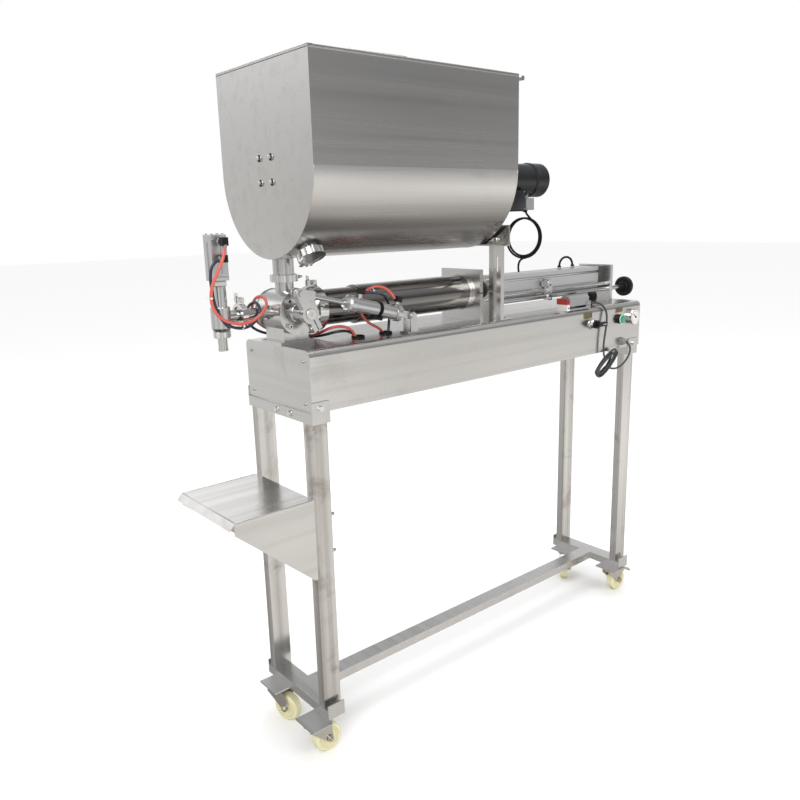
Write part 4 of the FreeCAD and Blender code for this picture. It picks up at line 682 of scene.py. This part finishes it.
# ---------------------------------------------------------------- control panel
def panel_pieces():
    bezel = turned((1261, -151, 990), "-Y", [(0, 25.2), (5.6, 25.4), (6.8, 24.8), (7, 23.8)], POLISHED, 64)
    joined("gauge_bezel", "frame", bezel)
    dial = turned((1261, -157.8, 990), "-Y", [(0, 23), (0.5, 23), (0.7, 22.6)], WHITE, 64)
    joined("gauge_dial", "frame", dial)
    marks = []
    for step in range(21):
        long = 4.0 if step % 5 == 0 else 2.2
        tick = block((1260.6, -158.9, 990 + 19.6 - long), (1261.4, -158.4, 990 + 19.6), SHEATH, 0.15, 1)
        marks.append(spun(tick, (1261, -157, 990), (0, 1, 0), -135 + 13.5 * step))
    joined("gauge_scale", "frame", *marks)
    hand = block((1260.2, -159.8, 984), (1261.8, -159, 1006), SHEATH, 0.3, 1)
    hub = turned((1261, -158.4, 990), "-Y", [(0, 3.4), (1.6, 3.2), (2.2, 2)], SHEATH, 24)
    joined("gauge_hand", "frame", spun(hand, (1261, -158, 990), (0, 1, 0), -52), hub)

    joined("button_ring", "frame", hoop((1191, -156.2, 989), "Y", 14, 1.6, WHITE))
    lens = turned((1191, -158.2, 989), "-Y", [(0, 12), (1.4, 12), (2.2, 11), (2.7, 7), (2.8, 2)], GREEN, 40)
    joined("button_lens", "start_button", lens)

    collar = turned((1047, -143, 988), "-Y", [(0, 17), (2.6, 17), (3.6, 16), (3.6, 14.6)], POLISHED, 48)
    joined("selector_collar", "frame", collar)
    line = block((1058, -178, 987.2), (1079, -177.1, 988.8), WHITE, 0.2, 1)
    grip = block((1037, -176.6, 983), (1079.5, -171, 993), BLACK, 1.8, 3)
    joined("selector_lever", "selector", grip, line)

    brass, olive = [], []
    for low, high in (((1005, 1007), (1045, 1027)), ((1171, 1010), (1207, 1026))):
        brass.append(block((low[0], -144.6, low[1]), (high[0], -143.2, high[1]), BRASS, 0.4))
        olive.append(block((low[0] + 2, -145.1, low[1] + 2), (high[0] - 2, -144.3, high[1] - 2), OLIVE, 0.2, 1))
        for side in (low[0] + 1.6, high[0] - 1.6):
            brass.append(turned((side, -144.4, (low[1] + high[1]) / 2), "-Y", [(0, 1.1), (0.6, 1.0), (0.9, 0.5)],
                                BRASS, 12))
    joined("label_frames", "frame", *brass)
    joined("label_plates", "frame", *olive)

    nut = turned((1207, -143.2, 915), "-Y", [(0, 13.2), (6, 13.2), (7, 12)], GREY, 6)
    dome = turned((1207, -150, 915), "-Y", [(0, 10), (5, 10), (8, 9), (10.5, 6.5), (11.8, 4.6)], GREY, 32)
    ribs = [block((1206, -156, 924), (1208, -150.4, 925.6), GREY, 0.4, 1)]
    for step in range(1, 12):
        ribs.append(spun(copied(ribs[0], (0, 0, 0)), (1207, -150, 915), (0, 1, 0), 30 * step))
    joined("cable_gland", "frame", nut, dome, *ribs)


BRASS = finish_of("tarnished brass", (0.48, 0.36, 0.14), (0.30, 0.22, 0.10), 0.32, 1.0, EVEN, bump=0.2, marks=40)
OLIVE = finish_of("olive label", (0.10, 0.095, 0.045), (0.16, 0.14, 0.07), 0.45, 0.0, (300, 300, 300), bump=0.2,
                  marks=60)
panel_pieces()


# ---------------------------------------------------------------- nozzle, valve and actuator
def nozzle_pieces():
    nut = turned((-135.5, 0, 1072), "Z", [(0, 18), (1.2, 19.6), (12.8, 19.6), (14, 18)], POLISHED, 6)
    joined("nozzle_nut", "frame", nut)
    tip = turned((-135.5, 0, 1041.6), "Z", [(0, 10.9), (0.8, 11.3), (3.4, 11.3), (4.2, 10.7)], POLISHED, 40)
    joined("nozzle_tip_ring", "frame", tip)
    gland = turned((-135.5, 0, 1186), "Z", [(0, 17.2), (2, 19.5), (10.5, 19.5), (12.6, 17.4)], POLISHED, 8)
    joined("nozzle_gland_nut", "frame", gland)
    caps = []
    for low, high in ((1199.4, 1211), (1287, 1299.2)):
        caps.append(block((-154.4, -18.9, low), (-116.6, 18.9, high), ANODISED, 1.6, 3))
    joined("nozzle_cylinder_caps", "frame", *caps)
    screws = []
    for dx in (-13, 13):
        for dy in (-13, 13):
            screws += socket_screw((-135.5 + dx, dy, 1299), "Z", 2.6, MACHINED)
    joined("nozzle_cap_screws", "frame", *screws)
    collars = [
        turned((-133.2, -40.1, 1277), "-Z", [(0, 6.2), (2.6, 6.2), (3, 5.2), (5, 5.2), (5.6, 4.4)], GREY, 28),
        turned((-140, -31.1, 1247.4), "-X", [(0, 6.2), (2.6, 6.2), (3, 5.2), (5, 5.2), (5.6, 4.4)], GREY, 28),
        turned((-133, -18.2, 1285), "-Y", [(0, 7.2), (3.2, 7.2), (3.8, 6.4)], POLISHED, 6),
        turned((-133, -18.2, 1247), "-Y", [(0, 7.2), (3.2, 7.2), (3.8, 6.4)], POLISHED, 6),
    ]
    joined("nozzle_fitting_collars", "frame", *collars)


def valve_pieces():
    seat = turned((35, -57, 1115), "-Y", [(0, 23), (4, 23), (5.4, 21.8), (5.4, 17)], MACHINED, 56)
    joined("valve_gland", "frame", seat)
    knob = turned((35, -108.4, 1115), "-Y", [(0, 13), (1.4, 13), (2.4, 12), (2.4, 5), (1.4, 4.4)], POLISHED, 40)
    joined("valve_shaft_end", "valve", knob)
    heads = []
    for angle in (45, 135, 225, 315):
        x, z = 35 + 41 * math.cos(math.radians(angle)), 1115 + 41 * math.sin(math.radians(angle))
        heads += socket_screw((x, -61.8, z), "-Y", 5.2, MACHINED)
    joined("valve_cover_screws", "frame", *heads)
    rims = [
        turned((35, 0, 1140 + 46), "Z", [(0, 27.2), (1.6, 28.6), (4.4, 28.6), (6, 27.2)], POLISHED, 48),
        turned((99, 0, 1114), "X", [(0, 49), (1.4, 50.6), (4, 50.6), (5, 49)], POLISHED, 64),
    ]
    joined("valve_ferrules", "frame", *rims)


def clamp_pieces():
    """The wing nut, the bolt and the hinge pin of every pipe clamp."""
    drain = math.radians(28)
    drain_turn = Matrix.Rotation(math.pi - drain, 4, "X") @ Matrix.Rotation(math.radians(200), 4, "Z")
    drain_spot = (48, -213 * math.sin(drain), 1436 - 213 * math.cos(drain))
    for name, outer, wide, spot, turn in (
        ("inlet_clamp_wing", 33, 16, (35, 0, 1193), Matrix.Rotation(math.radians(-60), 4, "Z")),
        ("dosing_clamp_wing", 55, 24, (110, 0, 1114),
         Matrix.Rotation(math.pi / 2, 4, "Y") @ Matrix.Rotation(math.pi / 2, 4, "Z")),
        ("nozzle_clamp_wing", 27, 14, (-86, 0, 1117),
         Matrix.Rotation(math.pi / 2, 4, "Y") @ Matrix.Rotation(math.pi / 2, 4, "Z")),
        ("drain_clamp_wing", 33, 16, drain_spot, drain_turn),
    ):
        reach = outer + 8
        hub = turned((MIDDLE + 8, reach, 0), "X", [(0, 6.4), (6, 6.4), (9, 4.6), (10, 4.2)], POLISHED, 24)
        wings = [block((MIDDLE + 11, reach + 3, -2.2), (MIDDLE + 17, reach + 17, 2.2), POLISHED, 1.8, 3),
                 block((MIDDLE + 11, reach - 17, -2.2), (MIDDLE + 17, reach - 3, 2.2), POLISHED, 1.8, 3)]
        wings = [spun(wing, (MIDDLE + 11, reach, 0), (0, 0, 1), lean) for wing, lean in zip(wings, (-14, 14))]
        head = turned((MIDDLE - 8, reach, 0), "-X", [(0, 6), (5.4, 6), (6.2, 5)], POLISHED, 6)
        pins = [turned((MIDDLE, -outer - 1.5, wide / 2 - 0.4), "Z", [(0, 4.4), (1.2, 4.4), (2, 3)], POLISHED, 20),
                turned((MIDDLE, -outer - 1.5, 0.4 - wide / 2), "-Z", [(0, 4.4), (1.2, 4.4), (2, 3)], POLISHED, 20)]
        made = joined(name, "frame", hub, *wings, head, *pins)
        only(made)
        made.matrix_world = Matrix.Translation(at(*spot)) @ turn
        bpy.ops.object.transform_apply(location=True, rotation=True, scale=True)


def actuator_pieces():
    """Drawn along +X from the rear pivot, then turned to the clevis."""
    lean = math.atan2(81.6, 327.7)
    turn = Matrix.Translation(at(338, -99, 1082)) @ Matrix.Rotation(math.pi + lean, 4, "Y")
    flip = Matrix.Rotation(math.pi, 4, "X")

    def laid(name, body, *things):
        made = joined(name, body, *things)
        only(made)
        made.matrix_world = turn @ flip
        bpy.ops.object.transform_apply(location=True, rotation=True, scale=True)

    rings = [
        turned((MIDDLE + 51, 0, 0), "X", [(0, 20.4), (0.6, 21.6), (2.4, 21.6), (3, 20.4)], MACHINED, 48),
        turned((MIDDLE + 180, 0, 0), "X", [(0, 20.4), (0.6, 21.6), (2.4, 21.6), (3, 20.4)], MACHINED, 48),
        turned((MIDDLE + 202, 0, 0), "X", [(0, 12), (1, 13), (7, 13), (8, 12)], MACHINED, 6),
    ]
    laid("actuator_end_rings", "actuator_barrel", *rings)
    straps = [hoop((MIDDLE + out, 0, 0), "X", 17.7, 0.9, SHEATH, 40) for out in (100.8, 103.6, 106.4, 109.2)]
    sensor = block((MIDDLE + 90, -7, -26), (MIDDLE + 122, 7, -17), SHEATH, 1.6, 3)
    laid("actuator_sensor", "actuator_barrel", *straps, sensor)
    nut = turned((MIDDLE, 0, 0), "Y", [(-14, 7), (-12, 7.4), (12, 7.4), (14, 7)], MACHINED, 32)
    laid("pivot_sleeve", "actuator_barrel", nut)


nozzle_pieces()
valve_pieces()
clamp_pieces()
actuator_pieces()


# ---------------------------------------------------------------- hopper, drive and frame
def hopper_pieces():
    front, rear, top = 1, 634.5, 1665
    rims = []
    for side in (-1, 1):
        low, high = sorted((198.2 * side, 187 * side))
        rims.append(block((front + 1, low, top - 4), (rear - 1, high, top - 0.2), SHEET, 1.2, 3))
    rims.append(block((front, -197, top - 4), (front + 12, 197, top - 0.2), SHEET, 1.2, 3))
    joined("hopper_rim", "frame", *rims)
    seams = []
    for x in (front + 1.2, rear - 1.2):
        seam = hoop((x, 0, 1436), "X", 197.4, 1.1, PLATE, 120)
        only(seam)
        bpy.ops.object.mode_set(mode="EDIT")
        bpy.ops.mesh.select_all(action="SELECT")
        bpy.ops.mesh.bisect(plane_co=at(x, 0, 1436), plane_no=(0, 0, 1), clear_outer=True, use_fill=True)
        bpy.ops.object.mode_set(mode="OBJECT")
        seams.append(seam)
    seams.append(hoop((35, 0, 1239.6), "Z", 26, 1.6, PLATE, 48))
    joined("hopper_welds", "frame", *seams)
    hem = [
        block((front, -198, 1667.2), (front + 14, 198, 1669), SHEET, 0.8),
        block((front, -198, 1667.2), (rear, -186, 1669), SHEET, 0.8),
        block((front, 186, 1667.2), (rear, 198, 1669), SHEET, 0.8),
    ]
    joined("lid_hem", "lid", *hem)
    feet = []
    for x in (343 - 83, 343 + 83):
        feet.append(turned((x, 0, 1667), "Z", [(0, 13), (1.6, 13), (2.4, 12), (2.8, 7), (5, 6.2)], POLISHED, 36))
    joined("lid_handle_feet", "lid", *feet)
    bosses = []
    for y in (-25, 25):
        for z in (-27, 27):
            bosses.append(turned((1.2, y - 5, 1436 + z), "-X", [(0, 8.6), (1, 8.6), (1.4, 8)], POLISHED, 32))
            profile = [(0, 5.2), (1.2, 4.8), (2.0, 3.4), (2.3, 1.6)]
            bosses.append(turned((-3.8, y - 5, 1436 + z), "-X", profile, POLISHED, 28))
    joined("bearing_bolt_caps", "frame", *bosses)


def motor_pieces():
    cowl = [
        turned((903, 0, 1424), "X", [(0, 48.6), (1, 49.4), (3, 49.4), (4, 48.8)], MOTOR, 64),
        turned((945, 0, 1424), "X",
               [(0, 48), (3, 47), (8.4, 40.6), (9.2, 38), (8, 36), (8, 30), (9.4, 28), (9.4, 12), (8.4, 10)],
               MOTOR, 64),
    ]
    joined("motor_cowl", "frame", *cowl)
    # The vents are thin black plates on the cowl's end: painted shade standing in for the open slots.
    slots = [block((952.6, -3, 1424 + 15), (953.8, 3, 1424 + 27), SHEATH, 0.4, 1)]
    for step in range(1, 10):
        slots.append(spun(copied(slots[0], (0, 0, 0)), (953, 0, 1424), (1, 0, 0), 36 * step))
    joined("cowl_vents", "frame", *slots)
    bolts = []
    for x in (651, 698):
        for z in (1399, 1473):
            bolts += socket_screw((x, -46, z), "-Y", 3.6, MACHINED)
    joined("gearbox_screws", "frame", *bolts)
    plate = block((662, -46.7, 1423), (688, -45.8, 1449), POLISHED, 0.3, 1)
    rivets = [turned((x, -46.6, z), "-Y", [(0, 1), (0.5, 0.9), (0.8, 0.4)], BRASS, 12)
              for x in (664.5, 685.5) for z in (1425.5, 1446.5)]
    joined("drive_plate", "frame", plate, *rivets)
    lids = [block((765.5, -51.2, 1336.5), (832.5, -49.6, 1391.5), MOTOR, 0.8),
            block((766, -50.4, 1333.6), (832, -9, 1336), MOTOR, 0.8)]
    screws = []
    for x, z in ((769, 1340), (829, 1340), (769, 1388), (829, 1388)):
        screws += socket_screw((x, -51.1, z), "-Y", 1.8, MACHINED)
    joined("capacitor_lid", "frame", *lids, *screws)
    lid = block((839, -51, 1338.5), (873, -49.6, 1371.5), GREY, 0.7)
    screws = []
    for x, z in ((842, 1341.5), (870, 1341.5), (842, 1368.5), (870, 1368.5)):
        screws += socket_screw((x, -50.9, z), "-Y", 1.4, MACHINED)
    joined("terminal_lid", "frame", lid, *screws)
    gland = turned((858, -30, 1338), "-Z", [(0, 7), (3, 7), (3.4, 6.2), (6, 6.2), (7.4, 4.6)], SHEATH, 8)
    joined("terminal_gland", "frame", gland)


def dosing_pieces():
    joints = [
        # the front joint ring takes the same darkened steel, painted shade and painted reflection
        turned((229, 0, 1114), "X", [(0, 44.4), (1, 47.2), (3, 48.9), (8, 48.9), (9, 48.6)], DOSING_PAINTED_SHADE, 72),
        turned((608, 0, 1114), "X", [(0, 48.6), (1, 50), (8, 50), (9, 48.6)], MACHINED, 72),
    ]
    joined("dosing_collars", "frame", *joints)
    boss = turned((694.5, 0, 1114), "-X", [(0, 27), (3, 27), (4, 26), (4, 22.6), (9, 22.6), (10.5, 21)], CASTING, 48)
    joined("cylinder_boss", "frame", boss)
    screws = []
    for x, way in ((707, "X"), (1250, "-X")):
        for y in (-28.25, 28.25):
            for z in (-28.25, 28.25):
                place = (x + (0.2 if way == "X" else -0.2), y, 1114 + z)
                screws.append(turned(place, way, [(0, 6.6), (1, 6.6), (1.6, 6)], MACHINED, 24))
    for y in (-28.25, 28.25):
        for z in (-28.25, 28.25):
            screws += socket_screw((1262, y, 1114 + z), "X", 5.4, MACHINED)
    joined("cylinder_screws", "frame", *screws)
    strips = []
    for z in (-22, 22):
        strips.append(block((741, -36.2, 1114 + z - 3.2), (1216, -34.9, 1114 + z + 3.2), ANODISED, 0.5, 1))
    joined("groove_strips", "frame", *strips)
    ports = []
    for x in (1086, 1155):
        ports.append(turned((x, 20, 1151.4), "Z", [(0, 7.4), (3.4, 7.4), (4.2, 6.4)], POLISHED, 6))
        ports.append(turned((x, 20, 1156), "Z", [(0, 6.2), (2.4, 6.2), (3, 5.2), (4.6, 4.6)], SHEATH, 28))
    joined("port_collars", "frame", *ports)
    hub = turned((1346, -50, 1078), "X", [(-4, 9), (0, 10.6), (5, 10.6), (6.4, 9.4)], POLISHED, 6)
    ridges = [block((1342.4, -51.6, 1109.2), (1353.6, -48.4, 1110.8), BLACK, 0.5, 1)]
    for step in range(1, 28):
        ridges.append(spun(copied(ridges[0], (0, 0, 0)), (1348, -50, 1078), (1, 0, 0), 360 / 28 * step))
    joined("handwheel_hub", "stroke_wheel", hub)
    joined("handwheel_grip", "stroke_wheel", *ridges)
    pin = socket_screw((945, -60, 1072), "-Y", 3, MACHINED)
    joined("stroke_block_screws", "stroke_block", *pin, *socket_screw((945, -60, 1112), "-Y", 2.2, SHEATH))


def frame_pieces():
    heads = []
    for y in (-118, 118):
        for z in (912, 1012):
            heads += socket_screw((0, y, z), "-X", 3.4, MACHINED)
            heads += socket_screw((1308, y, z), "X", 3.4, MACHINED)
    joined("beam_end_screws", "frame", *heads)
    heads = []
    for y in (-92, -112):
        heads += hex_bolt((646.4, y, 1259), "-X", 6.5, POLISHED)
    joined("saddle_bolts", "frame", *heads)
    seams = [
        block((-1.2, -142, 893), (1.2, 142, 895), PLATE, 0.6, 1),
        block((1306.8, -142, 893), (1309.2, 142, 895), PLATE, 0.6, 1),
    ]
    joined("beam_welds", "frame", *seams)
    grips = []
    for x in (199, 287):
        grips.append(hoop((x, -63, 1041.6), "Z", 14.6, 2.2, SHEATH, 40))
    joined("grommet_lips", "frame", *grips)
    hem = [
        block((-210.6, -133.6, 681.4), (-207.4, 133.6, 684), SHEET, 0.9),
        block((-208, -134.4, 681.2), (-6, -131.8, 683.9), SHEET, 0.9),
        block((-208, 131.8, 681.2), (-6, 134.4, 683.9), SHEET, 0.9),
    ]
    joined("tray_hem", "frame", *hem)
    ties = []
    tied = (((-176, -37, 1165), "Z"), ((-100, -33, 1097), "X"), ((-36.5, 30, 1137), "Z"), ((232, -84, 1152), "X"))
    for spot, way in tied:
        band = hoop(spot, way, 6.6, 0.9, WHITE, 28)
        x, y, z = spot
        head = block((x - 2, y - 9.4, z - 2.4), (x + 2, y - 5.4, z + 2.4), WHITE, 0.7)
        ties += [band, head]
    joined("cable_ties", "frame", *ties)
    ridges = [block((1121.4, -96.7, 1055), (1122.9, -95.3, 1075), BLACK, 0.4, 1)]
    for step in range(1, 20):
        ridges.append(spun(copied(ridges[0], (0, 0, 0)), (1108, -96, 1060), (0, 0, 1), 18 * step))
    joined("regulator_grip", "regulator", *ridges)
    joined("regulator_ring", "frame", hoop((1108, -96, 1044), "Z", 13.2, 1.7, RED, 40))
    rungs = []
    for step in range(7):
        rungs.append(block((944 + 12 * step, -131, 1080.6), (948 + 12 * step, -109, 1081.6), GREY, 0.4, 1))
    joined("treadle_ribs", "foot_pedal", *rungs)
    joined("treadle_screws", "frame", *socket_screw((1027, -140, 1051), "-Y", 3.4, MACHINED),
           *socket_screw((932, -140.2, 1047), "-Y", 1.8, SHEATH), *socket_screw((932, -140.2, 1066), "-Y", 1.8, SHEATH))


def caster_pieces():
    """Made once round the front near caster and copied, turned, to the other three."""
    places = {"front_near": (-30, -121, 0), "front_far": (-14, 84, -70),
              "rear_near": (1243, -112, 0), "rear_far": (1243, 90, -143)}
    for name, (back, side, heading) in places.items():
        race = [hoop((0, 0, 88.6), "Z", 23.2, 1.9, RUSTED, 48),
                turned((0, 0, 91), "-Z", [(0, 19), (1, 25), (2.6, 25.4), (4, 24)], ZINC, 48)]
        caps = []
        for way, y in (("-Y", -18.6), ("Y", 18.6)):
            caps += hex_bolt((35, y, 37.5), way, 7, ZINC, 4.6)
            caps.append(turned((35, y, 37.5), way, [(4, 3.8), (7.2, 3.8), (8, 3)], ZINC, 20))
        hubs = []
        for way, y in (("-Y", -12.8), ("Y", 12.8)):
            hubs.append(turned((35, y, 37.5), way, [(0, 14), (0.8, 14.6), (1.2, 13.4), (0.4, 11.8)], NYLON, 40))
            hubs.append(hoop((35, y * 0.82, 37.5), "Y", 24, 1.2, NYLON, 56))
        for label, body, things in (
            (f"{name}_race", f"{name}_swivel", race), (f"{name}_axle_nuts", f"{name}_swivel", caps),
            (f"{name}_hub", f"{name}_wheel", hubs),
        ):
            made = joined(label, body, *things)
            only(made)
            middle = Vector(at(0, 0, 0))
            made.matrix_world = (
                Matrix.Translation(at(back, side, 0)) @ Matrix.Rotation(math.radians(heading), 4, "Z")
                @ Matrix.Translation(-middle))
            bpy.ops.object.transform_apply(location=True, rotation=True, scale=True)


hopper_pieces()
motor_pieces()
dosing_pieces()
frame_pieces()
caster_pieces()
